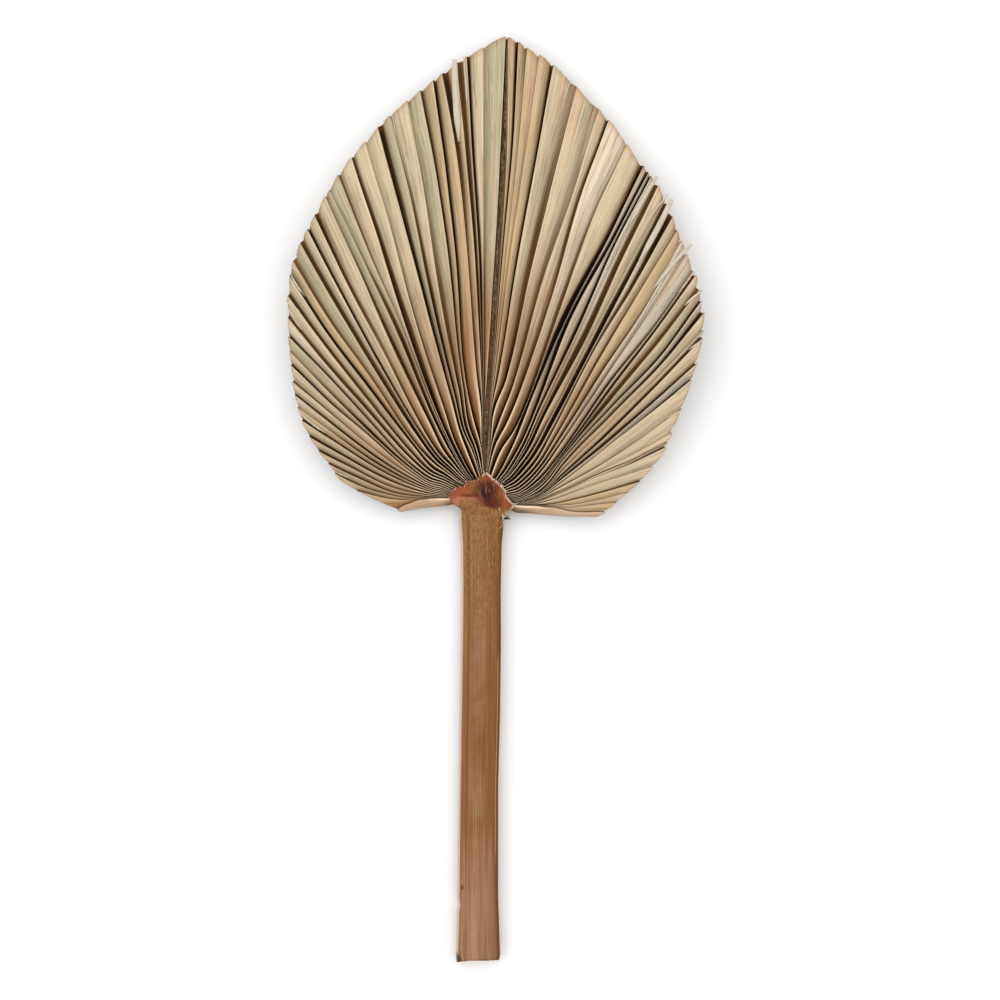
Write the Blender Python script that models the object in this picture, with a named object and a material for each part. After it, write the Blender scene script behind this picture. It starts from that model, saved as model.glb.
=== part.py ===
"""Dried palm fan, lying face up: a flat stalk, a red-brown crest (the hastula) and a pleated blade.

Sizes are in millimetres until the meshes are made. +X is to the right of the leaf, +Y runs from
the cut end of the stalk to the tip of the blade, and +Z is up. The leaf rests on three places: a
flat spot under the cut end of the stalk, and a low belly in each half of the blade.
"""

import math
import random

import bmesh
import bpy
from mathutils import Vector

MM = 0.001
SEED = 11
GAP = 0.3

# Blade: the point that the pleats fan out from, and the blade's central crease
FAN_X, FAN_Y = -6.0, 1.8
CREASE = 2.8
CREASE_FOOT_X, CREASE_FOOT_Y = -4.8, 16.0
CREASE_LEAN, CREASE_RUN, CREASE_BEND = 12.0, 262.0, 1.5

# Edge of the blade: (angle from straight up, distance from the fan point)
EDGE = (
    (-104, 50), (-100, 52), (-96, 57), (-92, 65), (-88, 75), (-84, 86), (-78, 96), (-72, 109),
    (-64, 125), (-56, 139.5), (-48, 158), (-40, 179.5), (-32, 195), (-24, 212.5), (-16, 231),
    (-8, 250), (0, 271), (3, 276.5), (4.5, 273), (8, 265), (12, 254), (16, 243.5), (24, 223),
    (28, 215), (32, 205.5), (36, 196), (44, 181), (52, 165), (60, 143), (68, 124.5), (76, 109.5),
    (84, 94), (92, 80), (100, 69.5), (104, 66),
)

# Ridges of the pleats at the edge, outward from the central crease, as angles. Those listed as
# faint are shallow folds in a nearly flat panel.
LEFT_RIDGES = (
    -2.2, 2.6, 4.8, 6.9, 8.8, 12.0, 14.3, 16.8, 20.2, 24.4, 27.2, 29.8, 32.9, 35.7, 38.5, 41.1,
    43.9, 46.6, 49.5, 51.8, 55.2, 57.5, 60.2, 63.5, 66.4, 68.8, 72.5, 76.3, 80.2, 85.3, 89.6,
    93.3, 96.6,
)
RIGHT_RIDGES = (
    3.4, 5.1, 6.5, 8.8, 12.5, 15.8, 17.9, 21.3, 25.5, 27.3, 30.1, 32.1, 35.0, 36.8, 40.1, 41.9,
    44.7, 48.4, 50.6, 52.4, 56.2, 59.1, 61.5, 67.1, 71.6, 74.5, 79.7, 85.0, 89.0, 92.0, 95.0,
    97.7,
)
LEFT_FAINT = (12.0, 20.2, 29.8, 66.4)
RIGHT_FAINT = (6.5, 21.3, 32.1, 36.8, 41.9, 67.1, 71.6, 79.7)
LEFT_END, RIGHT_END = 100.0, 100.0

# How the pleats turn in at the foot: share and reach of the turn, for the left and right half
TURN_RADIUS = 19.8
TURN_SHARE = {-1: 80.0, 1: 88.0}
TURN_SLOPE = {-1: 0.17, 1: 0.24}
TURN_ANGLE, TURN_POWER = 38.0, 2.4
TURN_REACH = 37.2
LOW_REACH = {-1: 15.0, 1: 0.0}
LOW_REACH_FROM, LOW_REACH_OVER = 55.0, 20.0
LOW_TURN_FROM = 90.0
LOW_TURN = {-1: 0.6, 1: 0.8}

# Inner edge of the blade, hidden below the hastula: (angle, distance from the fan point)
INNER = (
    (-104, 17.5), (-85, 16), (-70, 13.5), (-50, 10.5), (0, 10.5), (57, 10), (72, 10.5), (88, 11.5),
    (100, 14), (112, 16.5), (120, 18),
)

# Height of the blade
NECK_HEIGHT, NECK_RADIUS, NECK_REACH = 5.0, 12.0, 45.0
MID_HEIGHT = 4.6
TIP_LIFT, TIP_RADIUS = 6.0, 276.0
SIDE_LIFT, SIDE_WIDTH, SIDE_POWER = 24.0, 125.0, 1.7
BELLY_DEPTH, BELLY_X, BELLY_Y = 6.8, 26.0, 66.0
BELLY_HALF_WIDTH, BELLY_HALF_LENGTH = 13.0, 38.0
WARP = 1.6

# Pleats
WALL_SHARE = 0.35
PLEAT_DEPTH = 4.8
FAINT_SHARE, LAST_SHARE = 0.45, 0.6
WALL_STEEPNESS, FOOT_STEEPNESS, FOOT_REACH = 1.5, 0.9, 25.0
THICKNESS, FOOT_THICKNESS = 1.4, 0.5
ROWS, ROW_CROWDING = 14, 1.25
RIDGE_STEP, VALLEY_STEP, STEP_JITTER = 0.9, -1.3, 0.7

# Stalk: (y, centre x, half width, underside, top). Its costa runs on below the blade's crease:
# (y, distance left of the crease, half width, underside).
STALK = (
    (-277.8, -10.2, 12.9, -0.5, 10.7),
    (-273, -10.2, 13.2, -0.5, 11.0),
    (-255, -10.2, 12.6, -0.5, 11.2),
    (-238, -10.3, 12.1, -0.5, 11.3),
    (-222, -10.2, 12.0, 0.5, 11.5),
    (-171, -9.9, 11.8, 1.2, 11.8),
    (-126, -9.0, 12.0, 1.6, 12.0),
    (-81, -8.4, 11.9, 1.9, 12.2),
    (-54, -8.3, 11.7, 2.0, 12.3),
    (-27, -8.1, 12.1, 2.1, 12.2),
    (-18, -8.1, 12.9, 2.1, 12.0),
    (-11, -8.1, 13.4, 2.2, 11.8),
    (-6.5, -8.0, 13.5, 2.2, 11.7),
    (-2.5, -7.6, 12.6, 2.3, 7.4),
    (3, -6.8, 10.8, 2.2, 7.4),
)
COSTA = (
    (10, 1.0, 8.2, 2.0),
    (18, 0.0, 5.6, 1.8),
    (32, 0.0, 4.6, 1.5),
    (50, 0.0, 3.8, 1.2),
    (68, 0.0, 3.0, 1.0),
    (84, 0.0, 2.2, 1.0),
    (95, 0.0, 1.2, 1.2),
)
CREASE_DEPTH, CREASE_DEPTH_FOOT, CREASE_DEPTH_RISE = 2.4, 0.35, 0.04
COSTA_GAP = 0.45
STALK_SIDES = 24
TOP_SQUARENESS, UNDER_SQUARENESS = 8.0, 2.5
CHANNEL_DEPTH = 0.7
SHELF_Y = -5.0
END_RAGGEDNESS = 0.7

# Hastula: its outline seen from above, clockwise from the left corner, and its heights
HASTULA = (
    (-28.6, 3.6), (-23.5, 7.7), (-19.0, 8.6), (-18.0, 11.8), (-13.9, 11.8), (-10.7, 12.8),
    (-8.4, 15.1), (-5.0, 16.9), (-1.5, 13.7), (2.2, 10.9), (4.5, 8.6), (6.3, 5.9), (7.2, 2.2),
    (10.0, -1.4), (12.3, -3.8), (9.0, -7.0), (5.4, -9.6), (-1.0, -10.6), (-8.0, -9.6),
    (-15.0, -8.2), (-22.2, -4.4), (-26.4, -1.5),
)
HASTULA_CENTRE = (-6.5, 2.5)
HASTULA_FLOOR = 11.5 + GAP
HASTULA_RIM, HASTULA_CROWN = 0.8, 1.9
HASTULA_SHARES = (0.35, 0.7, 1.0)


def between(points, at):
    """Value at `at` on the smooth curve through (position, value) points."""
    if at <= points[0][0]:
        return points[0][1]
    if at >= points[-1][0]:
        return points[-1][1]
    right = next(i for i, point in enumerate(points) if point[0] > at)
    left = right - 1

    def slope(i):
        before, after = points[max(i - 1, 0)], points[min(i + 1, len(points) - 1)]
        return (after[1] - before[1]) / (after[0] - before[0])

    span = points[right][0] - points[left][0]
    s = (at - points[left][0]) / span
    rise = 3 * s**2 - 2 * s**3
    return (
        points[left][1] * (1 - rise)
        + points[right][1] * rise
        + span * slope(left) * (s**3 - 2 * s**2 + s)
        + span * slope(right) * (s**3 - s**2)
    )


def fold_angle(fold, radius):
    """Angle from straight up at which a fold line lies, at a distance from the fan point.

    A fold is named by its angle at the blade's edge. Nearer the fan point it turns aside, so
    that the folds meet the hastula squarely.
    """
    side = -1 if fold < 0 else 1
    size = abs(fold)
    turned = 1 - math.exp(-((size / TURN_ANGLE) ** TURN_POWER))
    foot = TURN_SHARE[side] * turned + TURN_SLOPE[side] * size
    foot += LOW_TURN[side] * max(size - LOW_TURN_FROM, 0)
    low = min(max((size - LOW_REACH_FROM) / LOW_REACH_OVER, 0), 1)
    reach = TURN_REACH + LOW_REACH[side] * low
    left_at_edge = math.exp(-(between(EDGE, fold) - TURN_RADIUS) / reach)
    left_here = math.exp(-max(radius - TURN_RADIUS, 0) / reach)
    turn = (left_here - left_at_edge) / (1 - left_at_edge)
    return fold + (side * foot - fold) * turn


def plan(fold, radius):
    """Place of a fold line seen from above."""
    angle = math.radians(fold_angle(fold, radius))
    return FAN_X + radius * math.sin(angle), FAN_Y + radius * math.cos(angle)


def crease_x(y):
    """Where the central crease lies, seen from above."""
    share = max(y - CREASE_FOOT_Y, 0) / CREASE_RUN
    return CREASE_FOOT_X + CREASE_LEAN * share**CREASE_BEND


def middle_height(radius):
    """Height of the sheet along its central crease."""
    neck = NECK_HEIGHT * math.exp(-(radius - NECK_RADIUS) / NECK_REACH)
    return MID_HEIGHT + neck + TIP_LIFT * (radius / TIP_RADIUS) ** 3


def sheet_height(x, y):
    """Height of the blade between ridges and valleys: a shallow trough with a belly each side."""
    radius = math.hypot(x - FAN_X, y - FAN_Y)
    aside = abs(x - crease_x(y))
    lift = SIDE_LIFT * (aside / SIDE_WIDTH) ** SIDE_POWER
    belly = BELLY_DEPTH * math.exp(-(((aside - BELLY_X) / BELLY_HALF_WIDTH) ** 2))
    belly *= math.exp(-(((y - BELLY_Y) / BELLY_HALF_LENGTH) ** 2))
    warp = WARP * math.sin(0.047 * x + 0.8) * math.sin(0.031 * y) * (radius / 200) ** 2
    return middle_height(radius) + lift - belly + warp


def thickness_at(radius):
    """Thickness of the sheet measured straight down, more where the pleats stand steep."""
    return THICKNESS + FOOT_THICKNESS * math.exp(-(radius - NECK_RADIUS) / FOOT_REACH)


def pleat_columns():
    """Fold lines from left to right as (angle, side of the sheet, angle of wall's other end, depth share).

    The side is 1 for a ridge and -1 for a valley. Each pleat has a broad face outside its ridge
    and a narrow, steep wall on the side of the central crease.
    """
    columns = []
    for side, ridges, faint, end in (
        (-1, LEFT_RIDGES, LEFT_FAINT, LEFT_END),
        (1, RIGHT_RIDGES, RIGHT_FAINT, RIGHT_END),
    ):
        inner = side * CREASE
        half = []
        for ridge in ridges:
            wall = WALL_SHARE * (ridge - inner) if half else ridge - inner
            share = FAINT_SHARE if ridge in faint else 1.0
            if half:
                half.append((side * (ridge - wall), -1, side * ridge, share))
            half.append((side * ridge, 1, side * (ridge - wall), share))
            inner = ridge
        half.append((side * end, -1, side * ridges[-1], LAST_SHARE))
        if side < 0:
            columns += half[::-1]
            columns.append((CREASE, -1, -LEFT_RIDGES[0], 1.0))
        else:
            columns += half
    return columns


def blade_point(column, row, edge_step):
    """One point of the middle of the sheet, and the sheet's thickness there."""
    fold, side, wall_end, share = column
    inner = between(INNER, fold_angle(fold, TURN_RADIUS))
    outer = between(EDGE, fold) + edge_step
    radius = inner + (outer - inner) * (row / (ROWS - 1)) ** ROW_CROWDING
    x, y = plan(fold, radius)
    wall = math.dist((x, y), plan(wall_end, radius))
    steepness = WALL_STEEPNESS + FOOT_STEEPNESS * math.exp(-(radius - NECK_RADIUS) / FOOT_REACH)
    depth = share * min(PLEAT_DEPTH, steepness * wall)
    thickness = thickness_at(radius)
    height = max(sheet_height(x, y) + side * depth / 2, thickness / 2)
    return Vector((x, y, height)), thickness


def make_object(name, mesh_maker):
    """New object whose mesh is made by `mesh_maker` in millimetres."""
    bm = bmesh.new()
    mesh_maker(bm)
    bmesh.ops.scale(bm, vec=(MM, MM, MM), verts=bm.verts)
    bmesh.ops.recalc_face_normals(bm, faces=bm.faces)
    mesh = bpy.data.meshes.new(name)
    bm.to_mesh(mesh)
    bm.free()
    return bpy.data.objects.new(name, mesh)


def add_blade(bm):
    """The pleated sheet: a grid bent by formula, then given its thickness straight down."""
    rng = random.Random(SEED)
    columns = pleat_columns()
    bmesh.ops.create_grid(bm, x_segments=len(columns) - 1, y_segments=ROWS - 1, size=1)
    bm.verts.ensure_lookup_table()
    steps = []
    for column in columns:
        step = RIDGE_STEP if column[1] > 0 else VALLEY_STEP
        steps.append(step + rng.uniform(-STEP_JITTER, STEP_JITTER))
    thickness = {}
    for index, vert in enumerate(bm.verts):
        row, across = divmod(index, len(columns))
        vert.co, thickness[index] = blade_point(columns[across], row, steps[across])
        vert.co.z += thickness[index] / 2
    bmesh.ops.triangulate(bm, faces=bm.faces, quad_method="FIXED")
    top = list(bm.verts)
    depth = [thickness[i] for i in range(len(top))]
    grown = bmesh.ops.extrude_face_region(bm, geom=list(bm.faces))
    lower = [item for item in grown["geom"] if isinstance(item, bmesh.types.BMVert)]
    below = {tuple(vert.co): value for vert, value in zip(top, depth)}
    for vert in lower:
        vert.co.z -= below[tuple(vert.co)]


def loft(bm, rings):
    """Closed skin over a row of rings with the same number of points."""
    rows = [[bm.verts.new(point) for point in ring] for ring in rings]
    count = len(rows[0])
    for lower, upper in zip(rows, rows[1:]):
        for i in range(count):
            j = (i + 1) % count
            bm.faces.new((lower[i], lower[j], upper[j], upper[i]))
    for ring in (rows[0], rows[-1]):
        centre = bm.verts.new(sum((vert.co for vert in ring), Vector()) / count)
        for i in range(count):
            bm.faces.new((ring[i], ring[(i + 1) % count], centre))
    bmesh.ops.triangulate(bm, faces=[face for face in bm.faces if len(face.verts) > 3])


def stalk_ring(y, centre, half_width, under, top, raggedness, channel):
    """Cross-section of the stalk: a flat, slightly hollow top over a rounded underside."""
    middle = (under + top) / 2
    half_height = (top - under) / 2
    ring = []
    for i in range(STALK_SIDES):
        turn = 2 * math.pi * (i + 0.5) / STALK_SIDES
        squareness = TOP_SQUARENESS if math.sin(turn) > 0 else UNDER_SQUARENESS
        across = math.copysign(abs(math.cos(turn)) ** (2 / squareness), math.cos(turn))
        up = math.copysign(abs(math.sin(turn)) ** (2 / squareness), math.sin(turn))
        z = middle + half_height * up
        if up > 0:
            z -= channel * (1 - across**2)
        ring.append((centre + half_width * across, y + raggedness(), max(z, 0)))
    return ring


def costa_top(y):
    """Highest that the costa may reach below the blade's central folds."""
    radius = y - FAN_Y
    fold = min(CREASE_DEPTH, CREASE_DEPTH_FOOT + CREASE_DEPTH_RISE * radius)
    return middle_height(radius) - fold - thickness_at(radius) / 2 - COSTA_GAP


def add_stalk(bm):
    """Stalk and costa as one loft, from the ragged cut end to the costa's point."""
    rng = random.Random(SEED + 1)
    rings = []
    for i, (y, centre, half_width, under, top) in enumerate(STALK):
        ragged = END_RAGGEDNESS if i == 0 else 0.0
        channel = CHANNEL_DEPTH if y < SHELF_Y else 0.0
        rings.append(
            stalk_ring(y, centre, half_width, under, top, lambda: rng.uniform(0, ragged), channel)
        )
    for y, aside, half_width, under in COSTA:
        centre = crease_x(y) - aside
        rings.append(stalk_ring(y, centre, half_width, under, costa_top(y), lambda: 0.0, 0.0))
    loft(bm, rings)


def add_hastula(bm):
    """Pointed crest: its outline drawn in towards the middle, flat below and crowned above."""
    def ring(share, height):
        return [
            (
                HASTULA_CENTRE[0] + share * (x - HASTULA_CENTRE[0]),
                HASTULA_CENTRE[1] + share * (y - HASTULA_CENTRE[1]),
                height,
            )
            for x, y in HASTULA
        ]

    rings = [ring(share, HASTULA_FLOOR) for share in HASTULA_SHARES]
    for share in reversed(HASTULA_SHARES):
        crown = HASTULA_CROWN * (1 - share**2)
        rings.append(ring(share, HASTULA_FLOOR + HASTULA_RIM + crown))
    loft(bm, rings)


def add_material(obj, name, colour, roughness):
    """Plain finish of one sub-part."""
    material = bpy.data.materials.new(name)
    material.use_nodes = True
    shader = material.node_tree.nodes["Principled BSDF"]
    shader.inputs["Base Color"].default_value = (*colour, 1)
    shader.inputs["Roughness"].default_value = roughness
    shader.inputs["Metallic"].default_value = 0
    obj.data.materials.append(material)


def stand_on_origin(objects):
    """Move the leaf so that the middle of its underside's box is the origin."""
    points = [vert.co for obj in objects for vert in obj.data.vertices]
    low = Vector(min(point[i] for point in points) for i in range(3))
    high = Vector(max(point[i] for point in points) for i in range(3))
    shift = Vector(((low.x + high.x) / 2, (low.y + high.y) / 2, low.z))
    for obj in objects:
        for vert in obj.data.vertices:
            vert.co -= shift


def clear_scene():
    for obj in list(bpy.data.objects):
        bpy.data.objects.remove(obj, do_unlink=True)


def main():
    clear_scene()
    collection = bpy.data.collections.new("dried_palm_fan")
    bpy.context.scene.collection.children.link(collection)
    stalk = make_object("stalk", add_stalk)
    hastula = make_object("hastula", add_hastula)
    blade = make_object("blade", add_blade)
    add_material(stalk, "stalk_brown", (0.36, 0.20, 0.10), 0.6)
    add_material(hastula, "hastula_red_brown", (0.33, 0.12, 0.06), 0.55)
    add_material(blade, "blade_straw", (0.60, 0.50, 0.36), 0.7)
    stand_on_origin([stalk, hastula, blade])
    for obj in (stalk, hastula, blade):
        collection.objects.link(obj)


main()
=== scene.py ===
"""Dried palm fan, lying face up: the pleated blade, the red-brown hastula and the flat stalk.

The finished pieces stand for the solids of the same names. Lengths are in millimetres on a page
that the leaf lies on, +X to the right, +Y from the cut end of the stalk to the tip of the blade
and +Z up, until `finish_mesh` turns them into metres in the frame's own place.
"""

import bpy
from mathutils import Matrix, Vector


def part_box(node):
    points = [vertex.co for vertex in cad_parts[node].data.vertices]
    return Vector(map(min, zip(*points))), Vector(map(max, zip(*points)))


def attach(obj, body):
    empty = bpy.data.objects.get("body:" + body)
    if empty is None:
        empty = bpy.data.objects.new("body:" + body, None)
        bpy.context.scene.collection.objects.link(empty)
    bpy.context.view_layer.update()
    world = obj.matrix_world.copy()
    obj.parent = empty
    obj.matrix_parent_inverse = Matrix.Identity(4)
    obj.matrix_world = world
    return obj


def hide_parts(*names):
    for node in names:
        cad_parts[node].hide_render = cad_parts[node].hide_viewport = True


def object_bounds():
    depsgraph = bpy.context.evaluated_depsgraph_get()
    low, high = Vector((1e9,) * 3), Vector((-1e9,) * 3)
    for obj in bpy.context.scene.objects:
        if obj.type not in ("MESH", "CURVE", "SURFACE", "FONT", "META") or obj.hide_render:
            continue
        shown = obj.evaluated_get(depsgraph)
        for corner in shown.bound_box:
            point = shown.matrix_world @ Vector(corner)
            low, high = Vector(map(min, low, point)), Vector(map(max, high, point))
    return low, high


bl_info = {
    "name": "Dried Palm Fan",
    "version": (1, 0, 0),
    "blender": (4, 5, 0),
    "location": "View3D > Sidebar > Palm Fan",
    "description": "Builds a dried palm fan with a pleated blade, a hastula and a cut stalk",
    "category": "Add Mesh",
}

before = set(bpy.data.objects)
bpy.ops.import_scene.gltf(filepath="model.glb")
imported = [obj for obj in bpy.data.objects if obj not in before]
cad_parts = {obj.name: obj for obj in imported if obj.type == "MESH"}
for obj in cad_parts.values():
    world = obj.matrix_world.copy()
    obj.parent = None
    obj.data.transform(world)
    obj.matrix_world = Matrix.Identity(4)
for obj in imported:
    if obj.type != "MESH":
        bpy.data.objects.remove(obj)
CAD_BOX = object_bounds()

import collections
import math
import random

import bpy
import numpy as np

MM = 0.001
BODY = "root"

# Blade: the point that the pleats fan out from, and the line of its central crease
FAN_X, FAN_Y = -6.0, 1.8
CREASE_FOOT_X, CREASE_FOOT_Y = -4.8, 16.0
CREASE_LEAN, CREASE_RUN, CREASE_BEND = 12.0, 262.0, 1.5

# Edge of the blade: (angle from straight up, distance from the fan point)
EDGE = (
    (-104, 50), (-100, 52), (-96, 57), (-92, 65), (-88, 75), (-84, 86), (-78, 96), (-72, 109),
    (-64, 125), (-56, 139.5), (-48, 158), (-40, 179.5), (-32, 195), (-24, 212.5), (-16, 231),
    (-8, 250), (0, 271), (3, 276.5), (4.5, 273), (8, 265), (12, 254), (16, 243.5), (24, 223),
    (28, 215), (32, 205.5), (36, 196), (44, 181), (52, 165), (60, 143), (68, 124.5), (76, 109.5),
    (84, 94), (92, 80), (100, 69.5), (104, 66),
)
INNER = (
    (-104, 17.5), (-85, 16), (-70, 13.5), (-50, 10.5), (0, 10.5), (57, 10), (72, 10.5), (88, 11.5),
    (100, 14), (112, 16.5), (120, 18),
)

# How the pleats turn in at the foot: share and reach of the turn, left and right half
TURN_RADIUS = 19.8
TURN_SHARE = (80.0, 88.0)
TURN_SLOPE = (0.17, 0.24)
TURN_ANGLE, TURN_POWER = 38.0, 2.4
TURN_REACH = 37.2
LOW_REACH = (15.0, 0.0)
LOW_REACH_FROM, LOW_REACH_OVER = 55.0, 20.0
LOW_TURN_FROM = 90.0
LOW_TURN = (0.6, 0.8)

# Height of the blade
NECK_HEIGHT, NECK_RADIUS, NECK_REACH = 5.0, 12.0, 45.0
MID_HEIGHT = 4.6
TIP_LIFT, TIP_RADIUS = 6.0, 276.0
SIDE_LIFT, SIDE_WIDTH, SIDE_POWER = 24.0, 125.0, 1.7
BELLY_DEPTH, BELLY_X, BELLY_Y = 6.8, 26.0, 66.0
BELLY_HALF_WIDTH, BELLY_HALF_LENGTH = 13.0, 38.0
WARP, WARP_ACROSS, WARP_START, WARP_ALONG, WARP_RADIUS = 1.6, 0.047, 0.8, 0.031, 200

# The folds of each half, from the central crease outward. `lies` is where the fold's ridge lies
# at each share of its length in FOLD_STATIONS, in degrees of fold angle measured outward. Then
# come the width of the narrow wall inside the ridge, at the edge and half-way, how dark the painted
# shade on that wall is there, from 0 to 1, and the tone of the broad face outside the ridge.
FOLD_STATIONS = (0.95, 0.75, 0.5, 0.25, 0.15, 0.08)
Fold = collections.namedtuple("Fold", "lies wall_edge wall_middle dark_edge dark_middle tone")
LEFT_FOLDS = (
    Fold((-2.66, -2.55, -2.3, -1.2, 0.9, 5.2), 0.1, 0.25, 1.0, 0.6, "olive"),
    Fold((0.3, 0.3, 0.5, 0.9, 1.6, 5.8), 0.2, 0.7, 0.12, 0.4, "straw"),
    Fold((2.35, 2.15, 1.55, 1.6, 2.1, 6.4), 0.3, 0.7, 1.0, 0.9, "tan"),
    Fold((3.7, 3.2, 2.5, 2.3, 2.8, 7.0), 0.8, 0.65, 0.6, 0.8, "tan"),
    Fold((5.6, 4.65, 4.3, 4.8, 4.2, 7.7), 0.8, 0.35, 0.75, 0.5, "tan"),
    Fold((7.1, 6.95, 7.55, 11.0, 11.0, 8.6), 0.35, 0.65, 1.0, 0.85, "tan"),
    Fold((9.0, 8.65, 9.3, 12.8, 15.3, 13.4), 0.3, 0.5, 0.75, 0.85, "olive"),
    Fold((11.2, 11.4, 13.0, 15.2, 17.8, 16.2), 0.2, 1.3, 0.2, 0.5, "straw"),
    Fold((14.0, 14.1, 15.6, 17.7, 19.5, 17.9), 0.2, 1.0, 0.3, 0.8, "olive"),
    Fold((16.3, 16.6, 17.5, 19.6, 21.4, 21.6), 0.85, 0.75, 0.8, 0.9, "straw"),
    Fold((18.8, 19.4, 21.6, 24.0, 25.8, 26.2), 0.15, 0.6, 0.2, 0.45, "straw"),
    Fold((21.7, 22.6, 24.9, 27.4, 28.2, 28.6), 0.35, 1.7, 0.75, 0.8, "straw"),
    Fold((24.7, 25.4, 25.9, 28.2, 29.0, 29.5), 0.4, 0.25, 0.5, 0.3, "olive"),
    Fold((27.0, 27.2, 27.8, 30.0, 30.7, 30.8), 0.3, 1.3, 0.15, 0.7, "olive"),
    Fold((28.2, 29.0, 30.8, 32.2, 33.5, 32.8), 0.2, 1.1, 0.35, 0.7, "straw"),
    Fold((31.5, 32.8, 34.0, 36.1, 36.4, 34.8), 0.65, 0.9, 0.8, 0.4, "straw"),
    Fold((33.9, 35.2, 36.9, 38.1, 38.3, 36.6), 0.35, 0.55, 1.0, 1.0, "straw"),
    Fold((36.4, 37.7, 39.2, 40.2, 40.4, 38.5), 0.75, 1.4, 0.7, 0.75, "olive"),
    Fold((39.6, 41.1, 41.6, 43.1, 42.5, 40.0), 0.9, 0.6, 0.45, 0.5, "tan"),
    Fold((41.9, 43.6, 44.3, 44.9, 45.7, 42.6), 0.45, 0.95, 1.0, 1.0, "straw"),
    Fold((44.8, 46.2, 47.4, 48.5, 48.5, 44.6), 0.65, 1.2, 0.75, 0.6, "straw"),
    Fold((48.1, 49.4, 50.3, 51.5, 51.0, 46.8), 0.8, 1.3, 0.6, 0.75, "pale"),
    Fold((50.9, 51.5, 52.8, 54.8, 54.0, 49.2), 0.33, 0.8, 1.0, 0.7, "olive"),
    Fold((53.6, 54.9, 56.1, 56.9, 56.4, 51.8), 0.3, 1.0, 0.35, 1.0, "straw"),
    Fold((56.1, 57.3, 57.5, 58.7, 58.5, 54.4), 0.45, 0.4, 1.0, 0.85, "straw"),
    Fold((59.3, 60.0, 60.9, 61.0, 60.8, 57.0), 0.55, 0.55, 0.5, 0.35, "straw"),
    Fold((62.0, 62.9, 64.0, 64.0, 63.3, 59.6), 0.45, 1.1, 0.8, 0.9, "straw"),
    Fold((64.6, 65.5, 66.9, 66.9, 65.9, 62.3), 0.3, 1.2, 0.2, 0.85, "tan"),
    Fold((67.5, 68.2, 69.7, 69.9, 68.7, 65.0), 0.45, 0.9, 1.0, 1.0, "straw"),
    Fold((71.3, 72.1, 74.0, 74.6, 72.2, 68.0), 0.75, 1.3, 0.9, 0.9, "straw"),
    Fold((74.9, 76.1, 79.8, 79.0, 75.6, 71.0), 0.75, 1.3, 0.9, 0.5, "straw"),
    Fold((78.5, 80.6, 84.6, 82.2, 78.3, 73.4), 0.5, 1.2, 0.9, 0.8, "straw"),
    Fold((82.0, 85.8, 87.8, 83.6, 80.0, 75.4), 0.6, 0.8, 0.6, 0.65, "straw"),
    Fold((88.0, 90.5, 89.6, 84.8, 81.3, 77.2), 0.5, 0.3, 0.5, 0.4, "tan"),
    Fold((98.3, 95.0, 91.3, 85.8, 82.5, 79.0), 0.6, 0.4, 0.5, 0.6, "strip"),
)
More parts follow.
